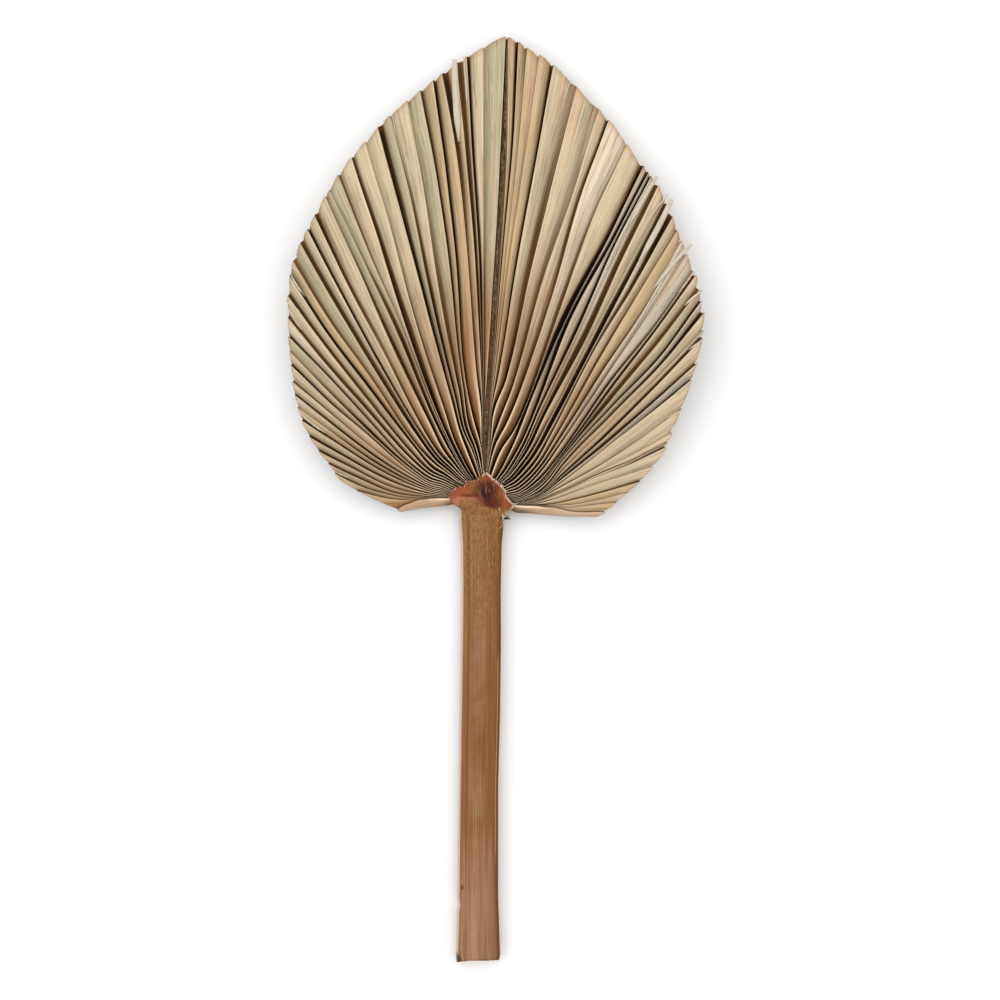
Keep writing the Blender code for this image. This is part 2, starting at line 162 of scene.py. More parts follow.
RIGHT_FOLDS = (
    Fold((3.0, 3.65, 3.8, 3.8, 4.05, 5.6), 0.1, 0.15, 0.3, 0.6, "tan"),
    Fold((4.3, 4.6, 4.3, 4.3, 4.4, 6.2), 0.35, 0.3, 0.95, 0.8, "tan"),
    Fold((5.4, 5.5, 5.2, 4.8, 4.8, 6.8), 0.2, 0.2, 0.35, 0.2, "tan"),
    Fold((7.0, 6.75, 6.0, 5.6, 5.2, 7.5), 0.15, 0.2, 0.25, 0.25, "tan"),
    Fold((8.95, 8.65, 7.95, 7.4, 5.8, 8.3), 0.27, 0.45, 1.0, 0.9, "straw"),
    Fold((12.6, 12.2, 11.65, 11.3, 7.6, 9.1), 1.1, 1.4, 0.35, 0.6, "straw"),
    Fold((16.4, 16.2, 15.0, 14.9, 12.7, 10.2), 1.3, 1.0, 0.25, 0.5, "straw"),
    Fold((18.1, 17.7, 18.6, 18.4, 16.9, 13.5), 0.3, 1.2, 0.8, 0.5, "pale"),
    Fold((21.8, 21.1, 21.7, 22.5, 21.7, 18.6), 0.25, 1.1, 0.3, 0.6, "straw"),
    Fold((25.6, 25.4, 24.1, 23.7, 24.2, 24.2), 0.45, 1.4, 1.0, 1.0, "weathered"),
    Fold((26.7, 26.4, 25.3, 26.8, 27.4, 27.3), 0.4, 1.1, 1.0, 1.0, "weathered"),
    Fold((27.4, 27.25, 28.2, 28.2, 29.1, 29.3), 0.3, 0.7, 1.0, 1.0, "weathered"),
    Fold((28.2, 28.4, 29.0, 29.4, 30.2, 30.4), 0.15, 0.2, 0.05, 0.2, "weathered"),
    Fold((29.3, 29.9, 31.4, 31.0, 32.0, 31.7), 0.85, 1.7, 0.6, 0.75, "straw"),
    Fold((31.2, 31.6, 32.5, 33.2, 33.9, 33.9), 0.15, 0.2, 0.25, 0.2, "olive"),
    Fold((32.2, 33.2, 34.3, 35.4, 36.2, 36.2), 0.65, 1.75, 0.75, 0.95, "pale"),
    Fold((34.1, 34.9, 35.0, 36.9, 38.5, 38.8), 0.95, 0.4, 0.75, 0.6, "straw"),
    Fold((36.0, 36.7, 37.7, 39.3, 40.8, 41.3), 0.4, 0.75, 0.35, 0.6, "tan"),
    Fold((38.0, 39.8, 40.4, 41.4, 42.9, 44.0), 0.2, 0.7, 0.2, 0.75, "weathered"),
    Fold((40.1, 41.3, 42.2, 43.2, 44.9, 46.5), 0.2, 0.45, 0.2, 0.55, "weathered"),
    Fold((43.1, 44.3, 44.5, 46.1, 48.1, 49.0), 0.35, 0.85, 0.45, 0.85, "weathered"),
    Fold((43.9, 45.2, 46.0, 47.3, 50.0, 51.0), 0.4, 0.8, 0.85, 0.9, "straw"),
    Fold((46.4, 47.7, 48.3, 48.2, 51.6, 53.2), 0.9, 1.5, 0.5, 0.75, "olive"),
    Fold((48.4, 50.5, 50.1, 49.6, 54.4, 55.6), 0.35, 0.45, 1.0, 1.0, "weathered"),
    Fold((50.4, 52.2, 52.2, 52.0, 58.4, 58.0), 0.55, 1.0, 1.0, 0.6, "straw"),
    Fold((52.9, 53.9, 54.2, 54.4, 60.3, 60.2), 0.3, 0.2, 0.35, 0.15, "straw"),
    Fold((54.3, 55.8, 57.0, 57.4, 62.2, 62.2), 0.6, 1.3, 0.7, 0.85, "straw"),
    Fold((58.1, 59.2, 59.9, 59.8, 64.2, 64.0), 0.25, 1.5, 1.0, 0.8, "weathered"),
    Fold((60.8, 61.4, 61.5, 62.4, 66.4, 65.6), 0.4, 0.3, 1.0, 0.2, "straw"),
    Fold((66.3, 67.4, 67.6, 66.0, 68.6, 67.2), 0.35, 0.7, 0.25, 0.45, "straw"),
    Fold((71.2, 71.6, 70.5, 69.6, 70.8, 68.7), 0.3, 0.4, 0.2, 0.3, "straw"),
    Fold((73.4, 73.6, 71.9, 71.2, 72.2, 70.0), 0.35, 0.9, 0.4, 0.6, "straw"),
    Fold((74.7, 74.9, 73.2, 72.6, 73.6, 71.2), 0.45, 0.3, 0.9, 0.1, "straw"),
    Fold((79.7, 79.1, 77.3, 77.0, 76.6, 72.6), 0.3, 0.5, 0.15, 0.3, "straw"),
    Fold((84.4, 84.7, 84.6, 83.2, 78.8, 73.6), 0.75, 1.4, 0.75, 0.5, "tan"),
    Fold((88.2, 89.0, 89.0, 84.2, 79.4, 74.3), 0.4, 0.8, 0.3, 0.4, "straw"),
    Fold((92.2, 91.7, 90.9, 85.0, 80.0, 75.0), 0.5, 0.4, 0.4, 0.4, "tan"),
    Fold((97.0, 96.2, 92.4, 85.7, 80.5, 75.6), 0.5, 0.4, 0.6, 0.6, "strip"),
)
# Extra stations of the folded-over strip's own line, which bends more than the folds do
LEFT_STRIP = (
    (0.0, 76.0), (0.08, 79.0), (0.15, 82.5), (0.2, 84.5), (0.25, 85.8), (0.31, 87.6), (0.42, 89.7),
    (0.5, 91.3), (0.62, 93.3), (0.79, 95.5), (1.0, 98.6),
)
RIGHT_STRIP = (
    (0.0, 70.0), (0.05, 73.0), (0.08, 75.6), (0.11, 78.0), (0.18, 82.0), (0.28, 87.0), (0.4, 90.2),
    (0.47, 92.0), (0.6, 94.6), (0.75, 96.0), (0.9, 96.5), (1.0, 97.2),
)
# Where the flat strip of the midrib ends on each side, at the same stations
LEFT_MIDRIB = (-2.72, -2.68, -2.5, -1.55, 0.5, 4.8)
RIGHT_MIDRIB = (2.82, 3.45, 3.6, 3.5, 3.7, 5.2)
# The blade's lower edge on each side: (share, fold angle)
LEFT_END = ((0.0, 100.0), (0.15, 100.0), (0.35, 99.6), (0.6, 99.2), (1.0, 100.0))
RIGHT_END = (
    (0.0, 97.5), (0.09, 97.0), (0.2, 95.9), (0.35, 96.5), (0.5, 97.6), (0.62, 98.5), (0.83, 99.2),
    (1.0, 100.0),
)
# How much of its last change a line keeps on its way below the hastula and out to the edge
FOOT_DRIFT, FOOT_DRIFT_LIMITS = 0.5, (-4, 3)
EDGE_DRIFT = 0.25

# Where the fold lines start, as a distance from the fan point, for their pitch and their depth
FOOT_RADIUS = 10.5

# Cross-section of a pleat: shares of the wall and of the face at which it has a line of points
WALL_LINES = (0.0, 0.3, 0.65, 0.9)
FACE_LINES = (0.0, 0.06, 0.2, 0.4, 0.62, 0.82, 0.95)
MIDRIB_LINES = (0.0, 0.12, 0.3, 0.5, 0.7, 0.88)
# Least pitch and wall of a fold in degrees, and least pitch in millimetres
LEAST_PITCH, LEAST_WALL, LEAST_SPAN = 0.15, 0.06, 0.01
# Folds of less than this pitch in millimetres count as tight near the foot
DARK_PITCH = 2.2
# Share of a tight fold that its wall takes up there, and the most that any wall takes up
LOW_WALL_SHARE, MOST_WALL_SHARE = 0.47, 0.72
# Pitch in millimetres over which the ridges near the foot go from broad to thin
THIN_RIDGE_PITCH = (1.2, 2.2)
# Depth of the deepest pleat, how steep pleats are, and how much of its depth a faint fold keeps
DEEPEST_PLEAT = 4.8
PLEAT_STEEPNESS, FOOT_STEEPNESS, FOOT_REACH = 0.55, 0.6, 25.0
FAINT_SHARE = 0.3

# Pieces of torn fibre that stand out at the edge of the blade:
# (fold angle, how far in from the edge it starts, how far it stands out, width, lean in degrees)
SLIVERS = (
    (-4.25, 45, 4.0, 3.0, 0.56), (-2.6, 30, 1.2, 0.8, -0.4), (32.9, 34, 7.0, 2.6, -1.6),
    (30.6, 16, 3.2, 0.7, 1.4), (38.6, 30, 4.6, 1.7, 1.5), (43.2, 14, 2.0, 0.8, -1.0),
    (27.9, 30, 2.6, 2.0, 0.6), (46.0, 12, 2.2, 1.0, 1.2), (53.9, 10, 1.8, 0.7, 1.0),
    (61.0, 12, 1.6, 0.8, -1.0), (66.0, 10, 1.4, 0.6, 0.8), (-47.3, 12, 2.4, 0.8, 2.2),
    (-44.9, 10, 1.8, 0.9, -1.0), (-41.7, 14, 2.2, 0.8, 1.4), (-39.6, 8, 1.6, 0.6, -1.2),
    (-66.8, 16, 3.0, 0.9, 3.0), (-62.5, 10, 1.6, 0.6, -1.0), (-57.5, 10, 1.6, 0.6, 1.0),
    (-13.8, 14, 1.2, 0.6, 0.4), (-9.2, 12, 1.0, 0.5, -0.4), (11.4, 12, 1.0, 0.6, 0.4),
    (75.3, 10, 1.8, 0.7, -1.2), (87.0, 8, 1.6, 0.6, 1.5), (-81.0, 9, 1.5, 0.6, 1.5),
)

SLIVER_WIDTH, SLIVER_THICKNESS, SLIVER_LIFT = 1.3, 0.16, 0.2
SLIVER_POINTS = 13
# How much of the blade a sliver lies on at each point, as a share of the edge's distance
SLIVER_BED = 0.013

# Stalk: (y, centre x, half width, underside, top). Its costa runs on below the blade:
# (y, distance left of the crease, half width, underside).
STALK = (
    (-277.8, -10.2, 12.9, -0.5, 10.7),
    (-273, -10.2, 13.2, -0.5, 11.0),
    (-255, -10.2, 12.6, -0.5, 11.2),
    (-238, -10.3, 12.1, -0.5, 11.3),
    (-222, -10.2, 12.0, 0.5, 11.5),
    (-171, -9.9, 11.8, 1.2, 11.8),
    (-126, -9.0, 12.0, 1.6, 12.0),
    (-81, -8.4, 11.9, 1.9, 12.2),
    (-54, -8.3, 11.7, 2.0, 12.3),
    (-27, -8.1, 12.1, 2.1, 12.2),
    (-18, -8.1, 12.9, 2.1, 12.0),
    (-11, -8.1, 13.4, 2.2, 11.8),
    (-6.5, -8.0, 13.5, 2.2, 11.7),
    (-2.5, -7.6, 12.6, 2.3, 7.4),
    (3, -6.8, 10.8, 2.2, 7.4),
)
COSTA = (
    (10, 1.0, 8.2, 2.0), (18, 0.0, 5.6, 1.8), (32, 0.0, 4.6, 1.5), (50, 0.0, 3.8, 1.2),
    (68, 0.0, 3.0, 1.0), (84, 0.0, 2.2, 1.0), (95, 0.0, 1.2, 1.2),
)
CREASE_DEPTH, CREASE_DEPTH_FOOT, CREASE_DEPTH_RISE = 2.4, 0.35, 0.04
CAD_THICKNESS, CAD_FOOT_THICKNESS, COSTA_GAP = 1.4, 0.5, 0.45
TOP_SQUARENESS, UNDER_SQUARENESS = 8.0, 2.5
# Middle and half width of the neck, and where its full height ends below the hastula
NECK_X, NECK_HALF_WIDTH, NECK_END = -8.0, 12.6, -6.5
CHANNEL_DEPTH, CHANNEL_END = 0.7, -4.0
STALK_STEP, STALK_SIDES, LEAST_HEIGHT = 2.2, 120, 0.12
STALK_SEED = 5
# Small nick in the left edge, and how far the pale wood in it reaches
NICK_Y, NICK_DEPTH, NICK_REACH = -243.0, 1.3, 1.6
NICK_PALE_REACH, NICK_PALE_FROM = 2.2, 0.86
# Ragged, slanting cut end, and its face: (share of the way out, how far it is sunk in)
CUT_REACH, CUT_SLANT, CUT_RAGGED = 6, 0.675, 0.7
CUT_FACE = ((0.18, 0.5), (0.45, 0.9), (0.72, 0.7), (0.92, 0.3))
CUT_ROUGH = (-0.3, 0.5)
# Heights of the section, from -1 to 1, over which its side turns into its top face
TOP_FACE = (0.45, 0.8)
# Where the grain's relief fades below the blade, and where it begins at the cut end
GRAIN_END, GRAIN_START = (10, -8), (-277.4, -274)

# Hastula: its outline seen from above, clockwise from the left corner, and its heights
HASTULA = (
    (-28.6, 3.6), (-23.5, 7.7), (-19.0, 8.6), (-18.0, 11.8), (-13.9, 11.8), (-10.7, 12.8),
    (-8.4, 15.1), (-5.0, 16.9), (-1.5, 13.7), (2.2, 10.9), (4.5, 8.6), (6.3, 5.9), (7.2, 2.2),
    (10.0, -1.4), (12.3, -3.8), (9.0, -7.0), (5.4, -9.6), (-1.0, -10.6), (-8.0, -9.6),
    (-15.0, -8.2), (-22.2, -4.4), (-26.4, -1.5),
)
HASTULA_CENTRE = (-6.5, 2.5)
HASTULA_FLOOR, HASTULA_RIM, HASTULA_CROWN = 11.8, 0.8, 1.9
HASTULA_SPLITS, HASTULA_RINGS = 12, 26
HASTULA_SINK, HASTULA_LEAST = 0.12, 0.12
HASTULA_SEED = 8
# Places up the page between which it comes to lie on the stalk, and its rim comes to be torn
HASTULA_LOW, HASTULA_TORN = (-2.0, -6.5), (-6, 2)
# Two small folds at its point, a slanting groove left of them, and rays toward its rim
SMALL_FOLDS, SMALL_FOLD_HEIGHT, SMALL_FOLD_SIZE = ((-5.4, 6.2), (-3.4, 5.8)), 0.45, (0.55, 0.9)
GROOVE_PLACE, GROOVE_WIDTH, GROOVE_DEPTH = -14.2, 0.8, 0.5
RAYS, RAY_HEIGHT = 31, 0.14

# Loose pale fibres: (start x, start y, heading in degrees, share of the full length, bend)
LOOSE_FIBRES = (
    (-6.4, 16.4, 84, 0.3, 0.3), (-3.2, 15.0, -38, 0.6, -0.6), (0.4, 12.0, -42, 0.7, -0.5),
    (3.4, 9.4, -48, 0.8, 0.5), (5.8, 6.4, -62, 0.7, 0.4), (7.2, 1.8, -55, 0.9, -0.4),
    (9.4, -1.6, -30, 0.8, 0.4), (11.4, -3.2, 10, 0.7, 0.6), (11.2, -3.9, -141, 1.3, 0.15),
    (7.4, -6.9, -128, 0.9, 0.5), (5.3, -9.4, -98, 0.9, 0.2), (2.6, -5.0, -66, 1.0, -0.9),
    (4.4, -8.6, -74, 1.4, -0.5), (5.2, -12.6, -97, 1.3, -0.4),
)
FIBRE_POINTS, FIBRE_LIFT, FIBRE_SEED = 9, 0.35, 17

# Dark strands right of the neck, painted shadow below the pale torn fibres there: lines of (x, y, share of
# the full width)
NECK_SHADOW_STRANDS = (
    ((9.8, -5.2, 0.3), (8.0, -6.6, 0.8), (6.6, -8.0, 0.9), (5.8, -9.6, 0.6)),
    ((5.2, -11.2, 1.3), (6.4, -11.0, 1.6), (7.8, -11.1, 1.2), (9.4, -11.4, 0.5)),
    ((6.4, -10.6, 0.9), (7.4, -9.9, 0.7), (8.6, -9.6, 0.3)),
    ((9.9, -2.2, 0.3), (11.2, -1.6, 0.8), (12.8, -1.6, 0.4)),
)
NECK_SHADOW_SIZE, NECK_SHADOW_SINK = (0.9, 0.5), 0.4

# The page's place in the frame, from the hastula's box
PAGE_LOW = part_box("hastula")[0] / MM
PAGE_SHIFT = (
    PAGE_LOW.x - min(x for x, _ in HASTULA),
    PAGE_LOW.y - min(y for _, y in HASTULA),
    0.0,
)


def srgb(red, green, blue):
    """Linear colour of an 8-bit screen colour."""
    return tuple(
        c / 12.92 if c <= 0.04045 else ((c + 0.055) / 1.055) ** 2.4
        for c in (red / 255, green / 255, blue / 255)
    )


def length_setting(name, description, default):
    return bpy.props.FloatProperty(
        name=name, description=description, default=default, min=0.0, unit="LENGTH", precision=5
    )


def colour_setting(name, description, default):
    return bpy.props.FloatVectorProperty(
        name=name, description=description, default=default, size=3, min=0, max=1, subtype="COLOR"
    )


class PALMFAN_PG_sizes(bpy.types.PropertyGroup):
    """Sizes of the leaf's surface that can be changed"""

    pleat_depth: length_setting(
        "Pleat Depth", "Deepest fold of the blade, ridge to valley", DEEPEST_PLEAT * MM
    )
    sheet_thickness: length_setting("Sheet Thickness", "Thickness of the dry blade", 0.0007)
    vein_depth: length_setting("Vein Depth", "Relief of the fine veins in the blade", 0.00012)
    margin_jag: length_setting("Edge Raggedness", "How uneven the cut edge of the blade is", 0.0011)
    bark_depth: length_setting("Stalk Grain Depth", "Relief of the stalk's long fibres", 0.00035)
    torn_depth: length_setting("Torn Rim", "How far the hastula's rim is torn in", 0.0007)
    fibre_length: length_setting("Fibre Length", "Length of a loose fibre", 0.0042)
    fibre_radius: length_setting("Fibre Radius", "Radius of a loose fibre", 0.00013)
    blade_rows: bpy.props.IntProperty(
        name="Blade Rows", description="Rows of points along each pleat", default=58, min=8, max=120
    )


class PALMFAN_PG_colours(bpy.types.PropertyGroup):
    """Colours of the dry leaf that can be changed"""

    straw: colour_setting("Straw", "Main colour of the blade", srgb(206, 187, 157))
    tan: colour_setting("Tan", "Warmer faces of the blade", srgb(198, 168, 128))
    olive: colour_setting("Olive", "Faces that dried greener", srgb(178, 169, 139))
    pale: colour_setting("Pale", "Palest faces of the blade", srgb(226, 208, 184))
    rosy: colour_setting("Rosy", "Pinkish streaks of the blade", srgb(206, 170, 140))
    # Ridge is a painted highlight near the ridges, and also colours the fine gleaming veins
    crest: colour_setting("Ridge", "Thin pale ridges near the hastula", srgb(255, 222, 184))
    weathered: colour_setting("Weathered", "Grey-white faces of the blade", srgb(203, 192, 174))
    foot: colour_setting("Foot", "Orange-brown of the blade near the hastula", srgb(144, 94, 54))
    # Groove and Dark are painted shade in the blade's folds. Groove also colours the veins, specks, darker
    # streaks and the midrib's grooves; Dark also colours the midrib's darkest fibres and the shadow strands
    # at the neck.
    groove: colour_setting("Groove", "Brown in the folds", srgb(90, 61, 32))
    dark: colour_setting("Dark", "Darkest brown, deep in the folds", srgb(12, 4, 1))
    midrib: colour_setting("Midrib", "Grey-brown fibres of the midrib", srgb(92, 68, 54))
    strip: colour_setting("Folded Strip", "Folded-over strip at the blade's lower edge", srgb(186, 156, 130))
    stalk: colour_setting("Stalk", "Main brown of the stalk", srgb(134, 88, 48))
    # Stalk Grain also paints the shade along the stalk's right edge
    stalk_dark: colour_setting("Stalk Grain", "Dark fibres of the stalk", srgb(92, 56, 28))
    stalk_red: colour_setting("Stalk Red", "Redder patches of the stalk", srgb(128, 80, 46))
    stalk_grey: colour_setting("Stalk Grey", "Greyer, paler cut end of the stalk", srgb(156, 119, 90))
    stalk_tan: colour_setting("Stalk Tan", "Tan of the stalk below the hastula", srgb(136, 96, 52))
    stalk_edge: colour_setting("Stalk Edge", "Light line along the stalk's edges", srgb(190, 152, 106))
    hastula: colour_setting("Hastula", "Terracotta of the hastula", srgb(127, 58, 31))
    # Hastula Red also paints the shadow in the hastula's slanting groove
    hastula_red: colour_setting("Hastula Red", "Red-brown middle of the hastula", srgb(84, 31, 17))
    hastula_orange: colour_setting("Hastula Orange", "Orange lobes of the hastula", srgb(156, 82, 44))
    # Hastula Pink also paints the highlight on the hastula's two small folds
    hastula_rosy: colour_setting("Hastula Pink", "Pinkish lower edge of the hastula", srgb(186, 115, 86))
    hastula_heart: colour_setting("Hastula Heart", "Dark purple heart", srgb(46, 17, 19))
    # Torn Fibre also paints the highlight along the stalk's left edge
    torn: colour_setting("Torn Fibre", "Whitish torn fibre", srgb(222, 200, 176))


class PALMFAN_PG_stage(bpy.types.PropertyGroup):
    """Light, floor and camera"""

    floor: colour_setting("Floor", "Colour of the floor", (0.93, 0.93, 0.93))
    sky: bpy.props.FloatProperty(name="Sky", description="Strength of the even light", default=0.97, min=0)
    key: bpy.props.FloatProperty(
        name="Key Light", description="Power of the large soft light", default=34.0, min=0, unit="POWER"
    )
    camera_height: length_setting("Camera Height", "Height of the camera above the floor", 2.012)
    lens: bpy.props.FloatProperty(name="Lens", description="Focal length in mm", default=120.0, min=1)


# Curves and plan of the leaf

def through(points, at):
    """Values at `at` on the smooth curve through (position, value) points."""
    place, value = np.array(points, float).T
    slope = np.empty_like(value)
    slope[1:-1] = (value[2:] - value[:-2]) / (place[2:] - place[:-2])
    slope[0] = (value[1] - value[0]) / (place[1] - place[0])
    slope[-1] = (value[-1] - value[-2]) / (place[-1] - place[-2])
    at = np.clip(at, place[0], place[-1])
    left = np.clip(np.searchsorted(place, at, side="right") - 1, 0, len(place) - 2)
    span = place[left + 1] - place[left]
    s = (at - place[left]) / span
    rise = 3 * s**2 - 2 * s**3
    bent = slope[left] * (s**3 - 2 * s**2 + s) + slope[left + 1] * (s**3 - s**2)
    return value[left] * (1 - rise) + value[left + 1] * rise + span * bent


def smooth(low, high, at):
    """Smooth step from 0 at `low` to 1 at `high`."""
    share = np.clip((np.asarray(at, float) - low) / (high - low), 0, 1)
    return share * share * (3 - 2 * share)


def foot_angle(fold):
    """Angle from straight up at which a fold line reaches the foot of the blade."""
    size, half = np.abs(fold), (np.asarray(fold) >= 0).astype(int)
    angle = np.array(TURN_SHARE)[half] * (1 - np.exp(-((size / TURN_ANGLE) ** TURN_POWER)))
    angle += np.array(TURN_SLOPE)[half] * size
    angle += np.array(LOW_TURN)[half] * np.maximum(size - LOW_TURN_FROM, 0)
    return np.where(half == 1, angle, -angle)


def fold_angle(fold, radius):
    """Angle from straight up at which a fold line lies, at a distance from the fan point."""
    half = (np.asarray(fold) >= 0).astype(int)
    low = np.clip((np.abs(fold) - LOW_REACH_FROM) / LOW_REACH_OVER, 0, 1)
    reach = TURN_REACH + np.array(LOW_REACH)[half] * low
    left_at_edge = np.exp(-(through(EDGE, fold) - TURN_RADIUS) / reach)
    left_here = np.exp(-np.maximum(radius - TURN_RADIUS, 0) / reach)
    turn = (left_here - left_at_edge) / (1 - left_at_edge)
    return fold + (foot_angle(fold) - fold) * turn


def plan(fold, radius):
    """Place of a fold line seen from above."""
    angle = np.radians(fold_angle(fold, radius))
    return FAN_X + radius * np.sin(angle), FAN_Y + radius * np.cos(angle)


def crease_x(y):
    """Where the central crease lies, seen from above."""
    share = np.maximum(y - CREASE_FOOT_Y, 0) / CREASE_RUN
    return CREASE_FOOT_X + CREASE_LEAN * share**CREASE_BEND


def middle_height(radius):
    """Height of the sheet along its central crease."""
    neck = NECK_HEIGHT * np.exp(-(radius - NECK_RADIUS) / NECK_REACH)
    return MID_HEIGHT + neck + TIP_LIFT * (radius / TIP_RADIUS) ** 3


def sheet_height(x, y):
    """Height of the blade between ridges and valleys: a shallow trough with a belly each side."""
    radius = np.hypot(x - FAN_X, y - FAN_Y)
    aside = np.abs(x - crease_x(y))
    lift = SIDE_LIFT * (aside / SIDE_WIDTH) ** SIDE_POWER
    belly = BELLY_DEPTH * np.exp(-(((aside - BELLY_X) / BELLY_HALF_WIDTH) ** 2))
    belly = belly * np.exp(-(((y - BELLY_Y) / BELLY_HALF_LENGTH) ** 2))
    waves = np.sin(WARP_ACROSS * x + WARP_START) * np.sin(WARP_ALONG * y)
    return middle_height(radius) + lift - belly + WARP * waves * (radius / WARP_RADIUS) ** 2


# Meshes

def mesh_object(name, points, faces, edges=()):
    """New object at the origin, in the scene."""
    mesh = bpy.data.meshes.new(name)
    mesh.from_pydata([tuple(point) for point in points], edges, faces)
    mesh.update()
    obj = bpy.data.objects.new(name, mesh)
    bpy.context.scene.collection.objects.link(obj)
    return obj


def give_values(obj, values):
    """Adds a named number to every point of the mesh, for its material and its tree."""
    for name, numbers in values.items():
        layer = obj.data.attributes.new(name, "FLOAT", "POINT")
        layer.data.foreach_set("value", np.asarray(numbers, np.float32).ravel())


def give_map(obj, name, across, along):
    """Adds a UV map from two numbers at every point."""
    layer = obj.data.uv_layers.new(name=name)
    corners = np.empty(len(obj.data.loops), np.int32)
    obj.data.loops.foreach_get("vertex_index", corners)
    places = np.column_stack((across, along))[corners]
    layer.uv.foreach_set("vector", places.astype(np.float32).ravel())


def finish_mesh(obj, slot, *nodes):
    """Brings a page mesh into the frame, lets it ride and hides the solids that it stands for."""
    points = np.empty(len(obj.data.vertices) * 3)
    obj.data.vertices.foreach_get("co", points)
    points = (points.reshape(-1, 3) + PAGE_SHIFT) * MM
    obj.data.vertices.foreach_set("co", points.ravel())
    obj.data.update()
    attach(obj, BODY)
    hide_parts(*nodes)


def run_tree(obj, builder, values):
    """Runs a Geometry Nodes tree on the object and keeps its result as a plain mesh."""
    tree = shared_tree(builder)
    modifier = obj.modifiers.new(tree.name, "NODES")
    modifier.node_group = tree
    given = [item for item in tree.interface.items_tree if item.in_out == "INPUT"]
    sockets = {item.name: item.identifier for item in given}
    for name, value in values.items():
        modifier[sockets[name]] = value
    graph = bpy.context.evaluated_depsgraph_get()
    mesh = bpy.data.meshes.new_from_object(obj.evaluated_get(graph), depsgraph=graph)
    obj.modifiers.remove(modifier)
    old, obj.data = obj.data, mesh
    bpy.data.meshes.remove(old)
    mesh.name = obj.name


class NodeMaker:
    """Adds nodes to a tree and links their sockets."""

    def __init__(self, tree):
        self.tree = tree

    def feed(self, socket, value):
        """Links a socket to the one given, or sets its own value."""
        if isinstance(value, bpy.types.NodeSocket):
            self.tree.links.new(value, socket)
        elif socket.type == "RGBA":
            socket.default_value = (*value, 1.0)
        else:
            socket.default_value = value

    def add(self, kind, inputs=None, **settings):
        node = self.tree.nodes.new(kind)
        for name, value in settings.items():
            setattr(node, name, value)
        for name, value in (inputs or {}).items():
            self.feed(node.inputs[name], value)
        return node

    def use(self, builder, inputs=None):
        """Places a shared group."""
        return self.add("ShaderNodeGroup", inputs, node_tree=shared_tree(builder))

    def attribute(self, name):
        """A named number that every point of the mesh carries."""
        if self.tree.bl_idname == "GeometryNodeTree":
            return self.add("GeometryNodeInputNamedAttribute", {"Name": name}).outputs["Attribute"]
        return self.add("ShaderNodeAttribute", attribute_name=name).outputs["Fac"]

    def point(self, x=0.0, y=0.0, z=0.0):
        return self.add("ShaderNodeCombineXYZ", {"X": x, "Y": y, "Z": z}).outputs[0]

    def apart(self, vector):
        """X, Y and Z of a vector."""
        return self.add("ShaderNodeSeparateXYZ", {0: vector}).outputs

    def scaled(self, vector, scale):
        """A vector or a colour times a number."""
        return self.add("ShaderNodeVectorMath", {0: vector, "Scale": scale}, operation="SCALE").outputs[0]

    def noise(self, vector, detail, roughness=0.5):
        inputs = {"Vector": vector, "Scale": 1.0, "Detail": detail, "Roughness": roughness}
        return self.add("ShaderNodeTexNoise", inputs).outputs[0]

    def math(self, operation, *values):
        node = self.add("ShaderNodeMath", operation=operation)
        for socket, value in zip(node.inputs, values):
            self.feed(socket, value)
        return node.outputs[0]

    def times(self, first, *others):
        """Product of values."""
        for other in others:
            first = self.math("MULTIPLY", first, other)
        return first

    def plus(self, first, *others):
        """Sum of values."""
        for other in others:
            first = self.math("ADD", first, other)
        return first

    def minus(self, first, second):
        return self.math("SUBTRACT", first, second)

    def off(self, value, centre):
        """How far a value is from a centre."""
        return self.math("ABSOLUTE", self.minus(value, centre))

    def swing(self, value, share):
        """What a value around 0.5 adds or takes away."""
        return self.times(self.minus(value, 0.5), share)

    def ramp(self, value, low, high, start=0.0, end=1.0):
        """Smooth step of a value."""
        node = self.add(
            "ShaderNodeMapRange",
            {"Value": value, "From Min": low, "From Max": high, "To Min": start, "To Max": end},
            interpolation_type="SMOOTHSTEP",
        )
        return node.outputs["Result"]

    def mix(self, share, first, second):
        """Mix of two colours."""
        node = self.add("ShaderNodeMix", data_type="RGBA")
        sockets = [socket for socket in node.inputs if socket.enabled]
        for socket, value in zip(sockets, (share, first, second)):
            self.feed(socket, value)
        return next(socket for socket in node.outputs if socket.enabled)

    def layers(self, colour, *layers):
        """A colour under layers of (share, colour), the last one on top."""
        for share, other in layers:
            colour = self.mix(share, colour, other)
        return colour


def new_group(name, kind, inputs, outputs):
    """Empty node group with named sockets: (its maker, what it is given, what it puts out)."""
    tree = bpy.data.node_groups.new(name, kind)
    for label, socket_type, default in inputs:
        socket = tree.interface.new_socket(label, in_out="INPUT", socket_type="NodeSocket" + socket_type)
        if default is not None:
            socket.default_value = default
    for label, socket_type in outputs:
        tree.interface.new_socket(label, in_out="OUTPUT", socket_type="NodeSocket" + socket_type)
    make = NodeMaker(tree)
    return make, make.add("NodeGroupInput").outputs, make.add("NodeGroupOutput").inputs


def shared_tree(builder):
    """The tree that a function of the same name builds, built once."""
    return bpy.data.node_groups.get(builder.__name__) or builder()


# Geometry Nodes trees

# Fine veins of the blade: how often they repeat across and along, a millimetre
VEINS_ACROSS, VEINS_ALONG = 1.35, 0.02
# The value of the grain's noise that stays at the surface
GRAIN_LEVEL = 0.62


def end_tree(make, given, geometry, out):
    """Ends a tree in real geometry that wears the material."""
    real = make.add("GeometryNodeRealizeInstances", {"Geometry": geometry})
    dressed = make.add(
        "GeometryNodeSetMaterial", {"Geometry": real.outputs[0], "Material": given["Material"]}
    )
    make.feed(out[0], dressed.outputs[0])
    return make.tree


